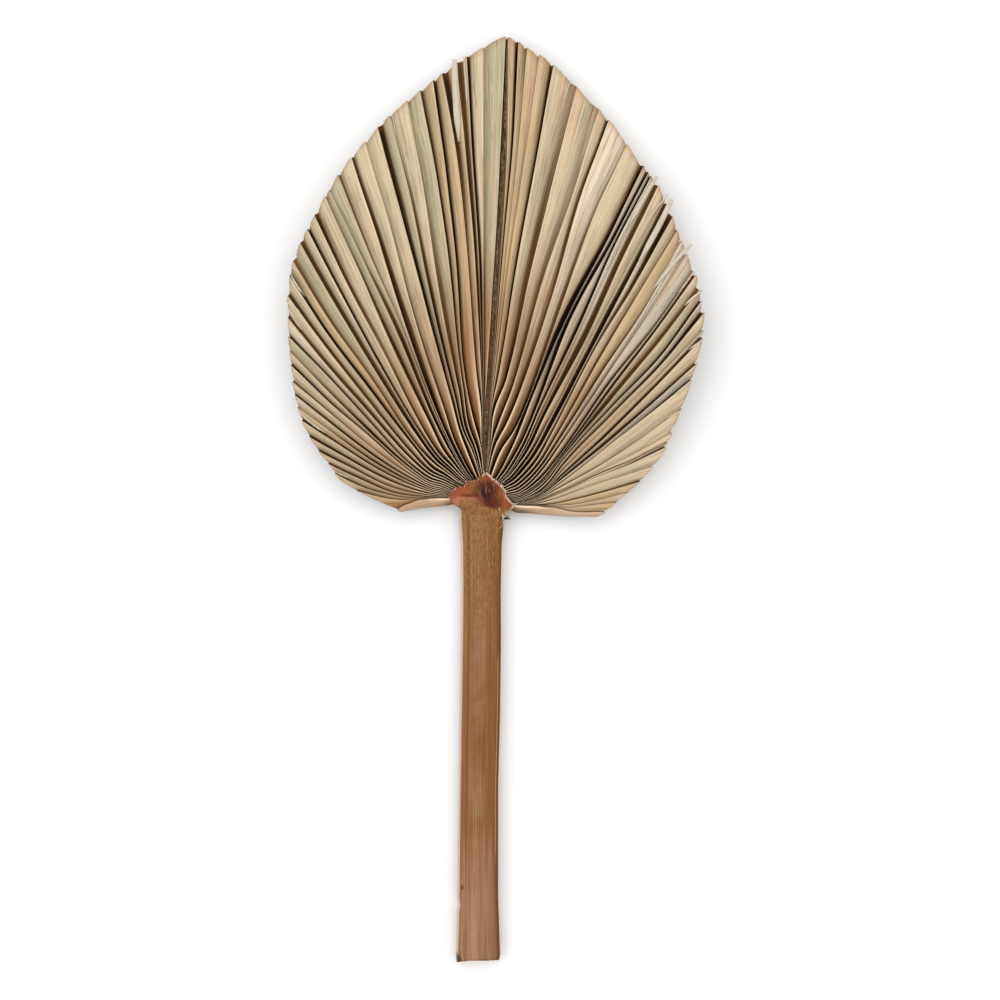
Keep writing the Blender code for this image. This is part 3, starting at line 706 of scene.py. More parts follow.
def raise_pleats():
    """Lifts the flat fan of fold lines into the pleated sheet, with fine veins on both faces."""
    make, given, out = new_group(
        "raise_pleats",
        "GeometryNodeTree",
        (
            ("Fan", "Geometry", None),
            ("Pleat Depth", "Float", 4.8),
            ("Sheet Thickness", "Float", 0.7),
            ("Vein Depth", "Float", 0.12),
            ("Seed", "Float", 3.0),
            ("Material", "Material", None),
        ),
        (("Blade", "Geometry"),),
    )
    across = make.times(make.attribute("across"), VEINS_ACROSS)
    along = make.times(make.attribute("along"), VEINS_ALONG)
    veins = make.noise(make.point(across, along, given["Seed"]), 2.0)
    face = make.attribute("face")
    fold = make.times(make.attribute("rise"), given["Pleat Depth"])
    half = make.times(given["Sheet Thickness"], 0.5)
    middle = make.math("MAXIMUM", make.plus(make.attribute("bed"), fold), half)
    height = make.plus(middle, make.times(face, half))
    height = make.plus(height, make.times(make.swing(veins, given["Vein Depth"]), face))
    lift = make.point(z=make.math("MAXIMUM", height, 0.0))
    moved = make.add("GeometryNodeSetPosition", {"Geometry": given["Fan"], "Offset": lift})
    return end_tree(make, given, moved.outputs[0], out)


def raise_grain():
    """Raises the long fibres of a woody surface along its normals."""
    make, given, out = new_group(
        "raise_grain",
        "GeometryNodeTree",
        (
            ("Body", "Geometry", None),
            ("Grain Depth", "Float", 0.3),
            ("Grain Width", "Float", 0.8),
            ("Grain Length", "Float", 60.0),
            ("Seed", "Float", 5.0),
            ("Material", "Material", None),
        ),
        (("Body", "Geometry"),),
    )
    x, y, z = make.apart(make.add("GeometryNodeInputPosition").outputs[0])
    place = make.point(
        make.math("DIVIDE", x, given["Grain Width"]),
        make.math("DIVIDE", y, given["Grain Length"]),
        make.plus(make.math("DIVIDE", z, given["Grain Width"]), given["Seed"]),
    )
    relief = make.minus(make.noise(place, 3.0), GRAIN_LEVEL)
    depth = make.times(relief, given["Grain Depth"], make.attribute("grain_share"))
    offset = make.scaled(make.add("GeometryNodeInputNormal").outputs[0], depth)
    moved = make.add("GeometryNodeSetPosition", {"Geometry": given["Body"], "Offset": offset})
    return end_tree(make, given, moved.outputs[0], out)


def lay_strands():
    """Turns lines with a width at each point into thin strands, flat side up."""
    make, given, out = new_group(
        "lay_strands",
        "GeometryNodeTree",
        (
            ("Lines", "Geometry", None),
            ("Width", "Float", 1.0),
            ("Thickness", "Float", 0.5),
            ("Material", "Material", None),
        ),
        (("Strands", "Geometry"),),
    )
    curves = make.add("GeometryNodeMeshToCurve", {"Mesh": given["Lines"]})
    level = make.add("GeometryNodeSetCurveNormal", {"Curve": curves.outputs[0]}, mode="Z_UP")
    profile = make.add(
        "GeometryNodeCurvePrimitiveQuadrilateral",
        {"Width": given["Width"], "Height": given["Thickness"]},
        mode="RECTANGLE",
    )
    body = make.add(
        "GeometryNodeCurveToMesh",
        {
            "Curve": level.outputs[0],
            "Profile Curve": profile.outputs[0],
            "Scale": make.attribute("width"),
            "Fill Caps": True,
        },
    )
    return end_tree(make, given, body.outputs[0], out)


# Shader groups

def page_place():
    """Place on the page in millimetres, from object coordinates."""
    make, given, out = new_group(
        "page_place",
        "ShaderNodeTree",
        (),
        (("Place", "Vector"), ("X", "Float"), ("Y", "Float"), ("Z", "Float")),
    )
    where = make.add("ShaderNodeTexCoord").outputs["Object"]
    page = make.add(
        "ShaderNodeVectorMath", {0: make.scaled(where, 1 / MM), 1: PAGE_SHIFT}, operation="SUBTRACT"
    )
    make.feed(out["Place"], page.outputs[0])
    for name, value in zip("XYZ", make.apart(page.outputs[0])):
        make.feed(out[name], value)
    return make.tree


def fibre_streaks():
    """Fine streaks along a surface's fibres: a value around 0.5 that changes mostly across."""
    make, given, out = new_group(
        "fibre_streaks",
        "ShaderNodeTree",
        (
            ("Across", "Float", 0.0),
            ("Along", "Float", 0.0),
            ("Width", "Float", 1.0),
            ("Length", "Float", 60.0),
            ("Seed", "Float", 0.0),
        ),
        (("Streaks", "Float"),),
    )
    across = make.math("DIVIDE", given["Across"], given["Width"])
    along = make.math("DIVIDE", given["Along"], given["Length"])
    make.feed(out["Streaks"], make.noise(make.point(across, along, given["Seed"]), 2.5, 0.6))
    return make.tree


def mottling():
    """Soft patches over the leaf, from 0 to 1, and sparse small specks."""
    make, given, out = new_group(
        "mottling",
        "ShaderNodeTree",
        (
            ("Place", "Vector", None),
            ("Patch Size", "Float", 30.0),
            ("Speck Size", "Float", 0.9),
            ("Speck Share", "Float", 0.3),
        ),
        (("Patches", "Float"), ("Specks", "Float")),
    )
    wide = make.scaled(given["Place"], make.math("DIVIDE", 1.0, given["Patch Size"]))
    make.feed(out["Patches"], make.ramp(make.noise(wide, 4.0, 0.6), 0.36, 0.64))
    near = make.scaled(given["Place"], make.math("DIVIDE", 1.0, given["Speck Size"]))
    least = make.minus(0.8, make.times(given["Speck Share"], 0.3))
    make.feed(out["Specks"], make.ramp(make.noise(near, 3.0), least, make.plus(least, 0.06)))
    return make.tree


def uneven_ellipse():
    """Mask of an ellipse on the page, with a soft edge that a value makes uneven."""
    make, given, out = new_group(
        "uneven_ellipse",
        "ShaderNodeTree",
        (
            ("X", "Float", 0.0),
            ("Y", "Float", 0.0),
            ("Centre X", "Float", 0.0),
            ("Centre Y", "Float", 0.0),
            ("Half Width", "Float", 1.0),
            ("Half Height", "Float", 1.0),
            ("Softness", "Float", 0.5),
            ("Unevenness", "Float", 0.0),
        ),
        (("Mask", "Float"),),
    )
    aside = make.math("DIVIDE", make.minus(given["X"], given["Centre X"]), given["Half Width"])
    above = make.math("DIVIDE", make.minus(given["Y"], given["Centre Y"]), given["Half Height"])
    reach = make.math("SQRT", make.plus(make.times(aside, aside), make.times(above, above)))
    outside, inside = make.plus(1.0, given["Softness"]), make.minus(1.0, given["Softness"])
    make.feed(out["Mask"], make.ramp(make.plus(reach, given["Unevenness"]), outside, inside))
    return make.tree


def light_and_shade():
    """A colour made lighter and darker by up to three values around 0.5, each with its share."""
    make, given, out = new_group(
        "light_and_shade",
        "ShaderNodeTree",
        (
            ("Colour", "Color", None),
            ("First", "Float", 0.5),
            ("First Share", "Float", 0.0),
            ("Second", "Float", 0.5),
            ("Second Share", "Float", 0.0),
            ("Third", "Float", 0.5),
            ("Third Share", "Float", 0.0),
        ),
        (("Colour", "Color"),),
    )
    shade = 1.0
    for name in ("First", "Second", "Third"):
        shade = make.plus(shade, make.swing(given[name], given[name + " Share"]))
    make.feed(out["Colour"], make.scaled(given["Colour"], shade))
    return make.tree


def short_dashes():
    """Short dark and light marks of a woody surface, from 0 to their shares."""
    make, given, out = new_group(
        "short_dashes",
        "ShaderNodeTree",
        (
            ("Streaks", "Float", 0.5),
            ("Dark From", "Float", 0.55),
            ("Dark Share", "Float", 0.5),
            ("Light From", "Float", 0.45),
            ("Light Share", "Float", 0.3),
        ),
        (("Dark", "Float"), ("Light", "Float")),
    )
    marks = given["Streaks"]
    make.feed(out["Dark"], make.ramp(marks, given["Dark From"], 0.64, 0.0, given["Dark Share"]))
    lightest = make.minus(given["Light From"], 0.1)
    make.feed(out["Light"], make.ramp(marks, given["Light From"], lightest, 0.0, given["Light Share"]))
    return make.tree


# Materials

# Streaks along the fibres: (width and length in millimetres, seed)
BLADE_FINE, BLADE_BROAD, BLADE_TINT = (0.7, 70.0, 2.0), (2.4, 110.0, 9.0), (3.8, 70.0, 17.0)
BLADE_VEINS, BLADE_WIDE_VEINS, BLADE_GLEAM = (1.5, 160.0, 31.0), (2.6, 190.0, 43.0), (2.1, 150.0, 57.0)
# Streaks that break up the painted glint along the ridges
RIDGE_GLINT_STREAKS = (1.6, 45.0, 71.0)
MIDRIB_FLECKS, MIDRIB_FIBRES, MIDRIB_GROOVES = (0.9, 3.0, 8.0), (0.9, 16.0, 5.0), (0.9, 2.6, 6.0)
STALK_FINE, STALK_BROAD, STALK_MARKS = (0.7, 60.0, 3.0), (3.6, 110.0, 10.0), (0.55, 3.2, 21.0)
HASTULA_FINE, HASTULA_BROAD, HASTULA_MARKS = (0.7, 5.0, 4.0), (3.2, 7.0, 11.0), (0.6, 2.2, 21.0)
WOOD_DASHES = (1.1, 3.4, 27.0)
STRAND_FIBRES = (0.7, 9.0, 1.0)
RELIEF, HASTULA_RELIEF = 0.0002, 0.00025

# Places along the stalk where its colours change: from, to
STALK_NECK = (-110.0, -30.0)
STALK_END_GREY = (-185.0, -255.0)
STALK_VEIN = (-262.0, -200.0)
STALK_EDGE_LINE_START, STALK_EDGE_LINE_END = (-222.0, -205.0), (-88.0, -100.0)
# Small dark places of the stalk: centre, half width and half height, softness
STALK_KNOT = (-19.7, -232.6, 0.9, 1.7, 0.4)
STALK_BROKEN_CORNER = (-22.8, -276.2, 2.2, 3.8, 0.35)

# Colours of the hastula, one over the other, each in an uneven ellipse:
# (centre x, centre y, half width, half height, softness), share, unevenness, colour
HASTULA_SPOTS = (
    ((-12.0, 8.0, 5.0, 3.4, 0.5), 0.5, 1.6, "stalk"),
    ((-19.0, -0.8, 7.5, 3.6, 0.5), 0.7, 1.6, "hastula_rosy"),
    ((5.0, 1.5, 3.6, 6.0, 0.5), 0.6, 1.6, "hastula_orange"),
    ((-18.5, 5.0, 6.0, 2.6, 0.5), 0.6, 1.6, "hastula_orange"),
    ((-2.4, 0.0, 6.4, 7.4, 0.6), 0.85, 2.6, "hastula_red"),
    # Painted shadow in the slanting groove left of the small folds
    ((-14.6, 2.7, 6.0, 1.0, 0.7), 0.75, 0.9, "hastula_red"),
    ((-5.8, 6.8, 5.6, 4.2, 0.6), 0.8, 2.6, "hastula_heart"),
    ((-4.4, 2.8, 3.6, 5.0, 0.6), 0.65, 2.6, "hastula_heart"),
    # Painted highlight on the two small folds at the point
    ((-5.3, 6.2, 0.45, 1.7, 0.8), 0.5, 1.0, "hastula_rosy"),
    ((-3.3, 5.8, 0.4, 1.1, 0.8), 0.4, 1.0, "hastula_rosy"),
)


def new_material(name, roughness, specular=0.3):
    """New material: (material, its node maker, its shader)."""
    material = bpy.data.materials.new(name)
    material.use_nodes = True
    shader = material.node_tree.nodes["Principled BSDF"]
    shader.inputs["Roughness"].default_value = roughness
    shader.inputs["Specular IOR Level"].default_value = specular
    return material, NodeMaker(material.node_tree), shader


def dress(make, shader, colour, height, distance):
    """Gives the shader its colour, and a small relief from a height between 0 and 1."""
    make.feed(shader.inputs["Base Color"], colour)
    bump = make.add("ShaderNodeBump", {"Height": height, "Distance": distance, "Strength": 1.0})
    make.feed(shader.inputs["Normal"], bump.outputs[0])


def streaks(make, across, along, width, length, seed):
    """Streaks along a surface's fibres."""
    inputs = {"Across": across, "Along": along, "Width": width, "Length": length, "Seed": seed}
    return make.use(fibre_streaks, inputs).outputs[0]


def marks_of(make, page, patch_size, speck_share):
    """Patches and specks of a material."""
    inputs = {"Place": page["Place"], "Patch Size": patch_size, "Speck Size": 0.8, "Speck Share": speck_share}
    return make.use(mottling, inputs).outputs


def ellipse(make, page, place, unevenness):
    """Mask of an uneven ellipse on the page."""
    names = ("Centre X", "Centre Y", "Half Width", "Half Height", "Softness")
    inputs = {"X": page["X"], "Y": page["Y"], "Unevenness": unevenness, **dict(zip(names, place))}
    return make.use(uneven_ellipse, inputs).outputs[0]


def lit(make, colour, *parts):
    """A colour made lighter and darker by (share, value around 0.5) parts."""
    inputs = {"Colour": colour}
    for name, (share, value) in zip(("First", "Second", "Third"), parts):
        inputs[name] = value
        inputs[name + " Share"] = share
    return make.use(light_and_shade, inputs).outputs[0]


def dashes_of(make, across, along, dark_from, dark_share, light_from, light_share):
    """Short dark and light marks along a woody surface."""
    inputs = {
        "Streaks": streaks(make, across, along, *WOOD_DASHES),
        "Dark From": dark_from,
        "Dark Share": dark_share,
        "Light From": light_from,
        "Light Share": light_share,
    }
    return make.use(short_dashes, inputs).outputs


def blade_material(colours):
    """Dry palm blade: straw faces, painted shade in the folds, painted highlight on the ridges, an orange
    foot and fine veins.
    """
    material, make, shader = new_material("blade_straw", 0.75, 0.04)
    page = make.use(page_place).outputs
    across, along, _ = make.apart(make.add("ShaderNodeUVMap", uv_map="fold_map").outputs[0])
    low, grey, fall = (make.attribute(name) for name in ("low", "grey", "fall"))
    calm = make.minus(1.0, make.times(low, 0.85))
    fine = make.plus(0.5, make.swing(streaks(make, across, along, *BLADE_FINE), calm))
    broad = streaks(make, across, along, *BLADE_BROAD)
    tint = streaks(make, across, along, *BLADE_TINT)

    def veins(*size_and_seed):
        """Thin crisp lines along the pleats."""
        lines = streaks(make, across, along, *size_and_seed)
        return make.times(calm, make.ramp(make.off(lines, 0.5), 0.022, 0.006))

    marks = marks_of(make, page, 34.0, make.plus(0.12, make.times(grey, 0.45)))
    leftward = make.ramp(page["X"], 45.0, -45.0)
    greener = make.times(make.plus(0.35, make.times(leftward, 0.3)), make.ramp(tint, 0.5, 0.68))
    pinker = make.times(make.minus(0.85, make.times(leftward, 0.4)), make.ramp(tint, 0.49, 0.33))
    stain = make.plus(make.attribute("foot"), make.swing(broad, 0.8))
    # The tone of each fold's face, tints along it, and the orange-brown foot
    colour = make.layers(
        colours.straw,
        (make.attribute("warm"), colours.tan),
        (make.attribute("green"), colours.olive),
        (make.attribute("light"), colours.pale),
        (grey, colours.weathered),
        (greener, colours.olive),
        (pinker, colours.rosy),
        (make.times(marks["Patches"], 0.22), colours.olive),
        (make.times(make.ramp(stain, 0.03, 0.78), 0.92), colours.foot),
        (make.times(make.attribute("strip"), 0.85), colours.strip),
    )
    # Light and shade across and along the faces
    slope = make.times(fall, fall, make.plus(0.16, make.times(low, 0.25)))
    shade = make.times(
        make.plus(1.0, make.swing(fine, 0.75)),
        make.plus(1.0, make.swing(broad, 0.6)),
        make.minus(1.0, slope),
        make.minus(1.0, make.times(low, 0.22)),
    )
    hair = make.math("MAXIMUM", veins(*BLADE_VEINS), veins(*BLADE_WIDE_VEINS))
    # Painted highlight near each ridge, strongest near the foot
    crest = make.times(make.attribute("crest"), make.plus(0.12, make.times(low, 0.82)))
    rib = make.times(make.attribute("midrib"), 0.9)
    flecks = make.ramp(streaks(make, page["X"], page["Y"], *MIDRIB_FLECKS), 0.51, 0.6)
    fibres = make.ramp(streaks(make, page["X"], page["Y"], *MIDRIB_FIBRES), 0.49, 0.55)
    grooves = make.ramp(streaks(make, page["X"], page["Y"], *MIDRIB_GROOVES), 0.49, 0.54)
    # Painted shade in the folds, stronger near the foot, with fine streaks through it
    deep = make.times(make.attribute("groove"), make.plus(1.0, make.times(low, 0.3)))
    rough = make.plus(deep, make.swing(fine, 0.55))
    # Painted glint along each ridge line, broken up by streaks
    ridge_glint = make.ramp(streaks(make, across, along, *RIDGE_GLINT_STREAKS), 0.4, 0.56)
    # Veins, pale ridges of painted highlight, specks, the midrib's fibres and the painted shade of the folds
    # over them
    colour = make.layers(
        make.scaled(colour, shade),
        (make.times(make.ramp(fine, 0.62, 0.74), 0.4), colours.groove),
        (make.times(hair, 0.36), colours.groove),
        (make.times(veins(*BLADE_GLEAM), 0.22), colours.crest),
        (crest, colours.crest),
        (make.times(marks["Specks"], 0.7), colours.groove),
        (rib, colours.midrib),
        (make.times(rib, flecks, 0.3), colours.weathered),
        (make.times(rib, fibres), colours.dark),
        (make.times(rib, grooves), colours.groove),
        (make.ramp(rough, 0.03, 0.55), colours.groove),
        (make.ramp(rough, 0.45, 0.92), colours.dark),
        (make.times(make.attribute("ridge"), ridge_glint, 0.6), colours.pale),
        (make.times(make.attribute("margin"), 0.25), colours.foot),
    )
    dress(make, shader, colour, make.plus(fine, broad), RELIEF)
    return material


def stalk_material(colours):
    """Brown flat stalk: long fibres, mottled neck, greyish cut end, light line along its edges, and painted
    light and shade: lighter to the left with a pale left edge, darker to the right with a dark right edge.
    """
    material, make, shader = new_material("stalk_brown", 0.62, 0.15)
    page = make.use(page_place).outputs
    side, top, cut = (make.attribute(name) for name in ("side", "top", "cut"))
    up = page["Y"]
    around = make.plus(page["X"], make.times(page["Z"], 1.3))
    fine, broad, flecks = (
        streaks(make, around, up, *size) for size in (STALK_FINE, STALK_BROAD, STALK_MARKS)
    )
    dashes = dashes_of(make, around, up, 0.55, 0.5, 0.44, 0.22)
    marks = marks_of(make, page, 26.0, 0.1)
    neck = make.ramp(up, *STALK_NECK)
    middle = make.ramp(make.off(side, -0.08), 0.62, 0.1)
    end_grey = make.times(make.ramp(up, *STALK_END_GREY), make.ramp(broad, 0.3, 0.55, 0.55, 0.95))
    breadth = make.ramp(make.math("ABSOLUTE", side), 0.98, 0.6)
    vein = make.times(make.ramp(make.off(side, -0.62), 0.09, 0.02), make.ramp(up, *STALK_VEIN, 0.1, 0.45))
    colour = make.layers(
        colours.stalk,
        (make.ramp(broad, 0.4, 0.62), colours.stalk_red),
        (make.times(neck, 0.9), colours.stalk_tan),
        (make.times(middle, marks["Patches"], 0.5), colours.stalk_grey),
        (make.times(end_grey, breadth), colours.stalk_grey),
        (make.times(make.ramp(fine, 0.5, 0.72), 0.5), colours.stalk_dark),
        (make.times(make.ramp(fine, 0.44, 0.3), 0.3), colours.stalk_edge),
        (vein, colours.stalk_dark),
        (make.times(neck, dashes["Dark"]), colours.stalk_dark),
        (make.times(neck, dashes["Light"]), colours.stalk_edge),
    )
    mottled = make.plus(0.5, make.swing(flecks, make.plus(0.35, make.times(neck, 0.75))))
    # Painted light and shade across the stalk: lighter to the left, darker to the right
    side_shade = make.minus(0.5, make.times(side, 0.5))
    # Painted highlight along the left edge and painted shade along the right edge
    left = make.times(make.ramp(side, -0.87, -0.95), top)
    right = make.times(make.ramp(side, 0.72, 0.97), top)
    line = make.times(
        make.ramp(make.off(side, 0.87), 0.035, 0.008),
        make.ramp(up, *STALK_EDGE_LINE_START),
        make.ramp(up, *STALK_EDGE_LINE_END),
    )
    knot = ellipse(make, page, STALK_KNOT, make.times(flecks, 0.4))
    broken = ellipse(make, page, STALK_BROKEN_CORNER, make.swing(flecks, 4.0))
    colour = make.layers(
        lit(make, colour, (0.9, mottled), (0.5, broad), (0.28, side_shade)),
        (make.times(left, 0.7), colours.torn),
        (make.times(right, 0.75), colours.stalk_dark),
        (make.times(line, 0.55), colours.stalk_edge),
        (make.times(marks["Specks"], 0.6), colours.hastula_red),
        (make.times(knot, 0.8), colours.hastula_red),
        (make.times(broken, 0.85), colours.hastula_heart),
        (make.times(cut, 0.8), colours.torn),
    )
    dress(make, shader, colour, make.plus(fine, flecks), RELIEF)
    return material


def hastula_material(colours):
    """Red-brown hastula: dark heart, orange lobes, broken whitish rim, tan where it joins the stalk, painted
    shadow in its slanting groove and painted highlight on its two small folds.
    """
    material, make, shader = new_material("hastula_red_brown", 0.6, 0.15)
    page = make.use(page_place).outputs
    across, up = page["X"], page["Y"]
    fine, broad, flecks = (
        streaks(make, across, up, *size) for size in (HASTULA_FINE, HASTULA_BROAD, HASTULA_MARKS)
    )
    dashes = dashes_of(make, across, up, 0.52, 0.6, 0.46, 0.4)
    marks = marks_of(make, page, 5.0, 0.1)
    colour = make.mix(make.ramp(broad, 0.38, 0.62), colours.hastula, colours.stalk_red)
    for place, share, unevenness, name in HASTULA_SPOTS:
        mask = ellipse(make, page, place, make.swing(broad, unevenness))
        colour = make.mix(make.times(mask, share), colour, getattr(colours, name))
    border = make.plus(make.ramp(across, -13.0, -2.0, -1.5, 3.6), make.times(broad, 7.0))
    border = make.plus(border, make.ramp(across, -19.5, -25.0, 0.0, 7.0))
    joined = make.ramp(make.plus(up, border), 3.6, 0.4)
    colour = make.layers(
        colour,
        (make.times(joined, 0.92), colours.stalk_tan),
        (make.times(joined, dashes["Dark"]), colours.stalk_dark),
        (make.times(joined, dashes["Light"]), colours.stalk_edge),
        (make.times(make.ramp(fine, 0.56, 0.75), 0.35), colours.hastula_red),
        (make.times(marks["Specks"], 0.5), colours.hastula_heart),
    )
    torn = make.ramp(make.plus(flecks, make.ramp(across, -9.0, -4.0, -0.12, 0.02)), 0.44, 0.5)
    colour = make.mix(
        make.times(make.attribute("rim"), torn), lit(make, colour, (0.9, flecks), (0.5, fine)), colours.torn
    )
    dress(make, shader, colour, make.plus(fine, flecks), HASTULA_RELIEF)
    return material


def strand_material(name, colour, dark):
    """Torn strands and fibres."""
    material, make, shader = new_material(name, 0.7)
    page = make.use(page_place).outputs
    fibres = streaks(make, page["X"], page["Y"], *STRAND_FIBRES)
    make.feed(shader.inputs["Base Color"], make.mix(make.ramp(fibres, 0.45, 0.75), colour, dark))
    return material


# Blade

# Mask that paints the tone of a fold's face; straw is the colour below them all
TONE_OF = {
    "straw": None, "tan": "warm", "olive": "green", "pale": "light", "weathered": "grey", "strip": "strip",
}
ROW_CROWDING = 1.15
EDGE_SEED = 23
EDGE_TRIM, BOX_MARGIN = 0.8, 0.15
EDGE_NOTCHES = (0, 0, 0, 0, 0, 0, -1.2, 0.6)
# Fold angles over which the jagged edge gets its full raggedness, from left to right
RAGGED_FROM, RAGGED_TO, LEAST_RAGGED = 12, 55, 0.6
# Shares of a line's length over which it comes to the foot: in its walls, its ridges and its colour
WALL_FOOT, RIDGE_FOOT, COLOUR_FOOT = (0.34, 0.12), (0.36, 0.12), (0.4, 0.1)
# How a wall widens from its edge width to its middle width, inward from the edge
WALL_GROWTH_FROM, WALL_GROWTH_OVER, WALL_GROWTH = 0.95, 0.45, 1.6
# Shares of the length between which the painted shade on a wall changes, from the foot outward
DARK_STATIONS = (0.0, 0.1, 0.25, 0.5, 0.95, 1.0)
LEAST_NEAR_DARK = 0.45
# Painted shade across a wall, from its valley to its ridge: where it starts and what it gains
WALL_DARK, WALL_DARK_GAIN = 0.68, 0.75
# Fall of a face to its valley, and the shade of the next fold on its outer part
FACE_FALL = 1.12
FACE_SHADE, FACE_SHADE_FROM = 3.0, 0.56
FOOT_SHADE_FROM, FOOT_SHADE_LEAST = (0.5, 0.95), 0.25
# How far the edge stands out at a wall's and a face's lines, as shares of its raggedness
WALL_STEP, WALL_STEP_GAIN = -0.9, 1.5
FACE_STEP, FACE_STEP_LOSS, FACE_STEP_POWER = 0.6, 1.5, 1.4
FACE_SHIFT, FACE_BULGE, LINE_SHAKE = (-0.6, 0.6), (0.1, 0.6), (-0.25, 0.25)
MIDRIB_STEP, MIDRIB_SHAKE = -0.6, (-0.8, 0.8)
# Shares of a face, ridge to valley, over which its pale ridge of painted highlight fades, broad and thin
BROAD_RIDGE, THIN_RIDGE = (0.6, 0.2), (0.36, 0.06)
# How far the orange-brown of the foot reaches: distances, then the shares that folds have of it
FOOT_COLOUR_FROM, FOOT_COLOUR_OVER, FOOT_COLOUR_POWER = 14, 175, 1.3
FOOT_COLOUR_SHARE = 0.72
MIDDLE_SHARE, MIDDLE_WIDTH = 0.6, 24
MIDRIB_SHARE, MIDRIB_WIDTH = 0.45, 3
LOW_SHARE, LOW_FOLDS = 0.45, (50, 68)
# Share of the length at which the veins' spacing is measured
VEIN_STATION = 0.7

# One line of points along the blade. Each value is one number or one at every share. Its groove value is the
# painted shade in the fold; two more values mark the painted highlight near the ridge and the painted glint
# on the ridge line.
Column = collections.namedtuple("Column", "fold rise groove fall step tone crest ridge", defaults=(0, 0))


def station_lines(values, shares):
    """Where a line lies at each share of its length, from its stations."""
    foot = values[-1] + FOOT_DRIFT * np.clip(values[-1] - values[-2], *FOOT_DRIFT_LIMITS)
    ahead = values[0] + EDGE_DRIFT * (values[0] - values[1])
    places = (0.0, *reversed(FOLD_STATIONS), 1.0)
    return through(tuple(zip(places, (foot, *reversed(values), ahead))), shares)


def line_radius(side, line, shares):
    """Distance from the fan point at each share of a line's length."""
    return FOOT_RADIUS + (through(EDGE, side * line) - FOOT_RADIUS) * shares


def angle_between(side, first, second, radius):
    """Angle between two lines on the page, in radians."""
    return np.radians(np.abs(fold_angle(side * second, radius) - fold_angle(side * first, radius)))


def half_lines(side, shares):
    """Folds, lines, wall widths, darkness and pitch in millimetres of one half, by (fold, share)."""
    folds, midrib, strip, end = (
        (LEFT_FOLDS, LEFT_MIDRIB, LEFT_STRIP, LEFT_END)
        if side < 0
        else (RIGHT_FOLDS, RIGHT_MIDRIB, RIGHT_STRIP, RIGHT_END)
    )
    lines = [station_lines(lies, shares) for lies in (midrib, *(fold.lies for fold in folds[:-1]))]
    lines += [through(strip, shares), through(end, shares)]
    for i in range(1, len(lines)):
        lines[i] = np.maximum(lines[i], lines[i - 1] + LEAST_PITCH)
    for i in range(len(lines) - 2, -1, -1):
        lines[i] = np.minimum(lines[i], lines[i + 1] - LEAST_PITCH)
    lines = np.array(lines)
    pitch = lines[1:-1] - lines[:-2]
    radius = line_radius(side, lines[1:-1], shares)
    spans = np.maximum(angle_between(side, lines[:-2], lines[1:-1], radius) * radius, LEAST_SPAN)
    foot = smooth(*WALL_FOOT, shares)
    inward = np.clip((WALL_GROWTH_FROM - shares) / WALL_GROWTH_OVER, 0, 1) ** WALL_GROWTH
    walls, dark = [], []
    for fold, gap, span in zip(folds, pitch, spans):
        tight = np.clip(DARK_PITCH / span, 0, 1)
        wall = fold.wall_edge + (fold.wall_middle - fold.wall_edge) * inward
        at_foot = np.maximum(wall * tight, LOW_WALL_SHARE * gap * tight)
        walls.append(wall * (1 - foot) + at_foot * foot)
        near = LEAST_NEAR_DARK + (1 - LEAST_NEAR_DARK) * fold.dark_middle
        shade = (1.0, 1.0, near, fold.dark_middle, fold.dark_edge, fold.dark_edge)
        dark.append(np.interp(shares, DARK_STATIONS, shade))
    walls = np.clip(walls, LEAST_WALL, MOST_WALL_SHARE * pitch)
    return folds, lines, walls, np.array(dark), spans


def face_end(lines, walls, i):
    """Where the broad face outside a ridge meets the next fold's wall."""
    return lines[i + 2] - (walls[i + 1] if i + 1 < len(walls) else 0)


def pleat_depths(side, lines, walls, dark, shares):
    """How deep each fold of a half is at every share, as a share of the deepest pleat."""
    depths = []
    for i in range(len(walls)):
        radius = line_radius(side, lines[i + 1], shares)
        turn = angle_between(side, lines[i + 1] - walls[i], face_end(lines, walls, i), radius)
        steep = PLEAT_STEEPNESS * (1 + FOOT_STEEPNESS * np.exp(-(radius - NECK_RADIUS) / FOOT_REACH))
        share = FAINT_SHARE + (1 - FAINT_SHARE) * dark[i]
        depths.append(share * np.minimum(1.0, steep * turn * radius / DEEPEST_PLEAT))
    return depths


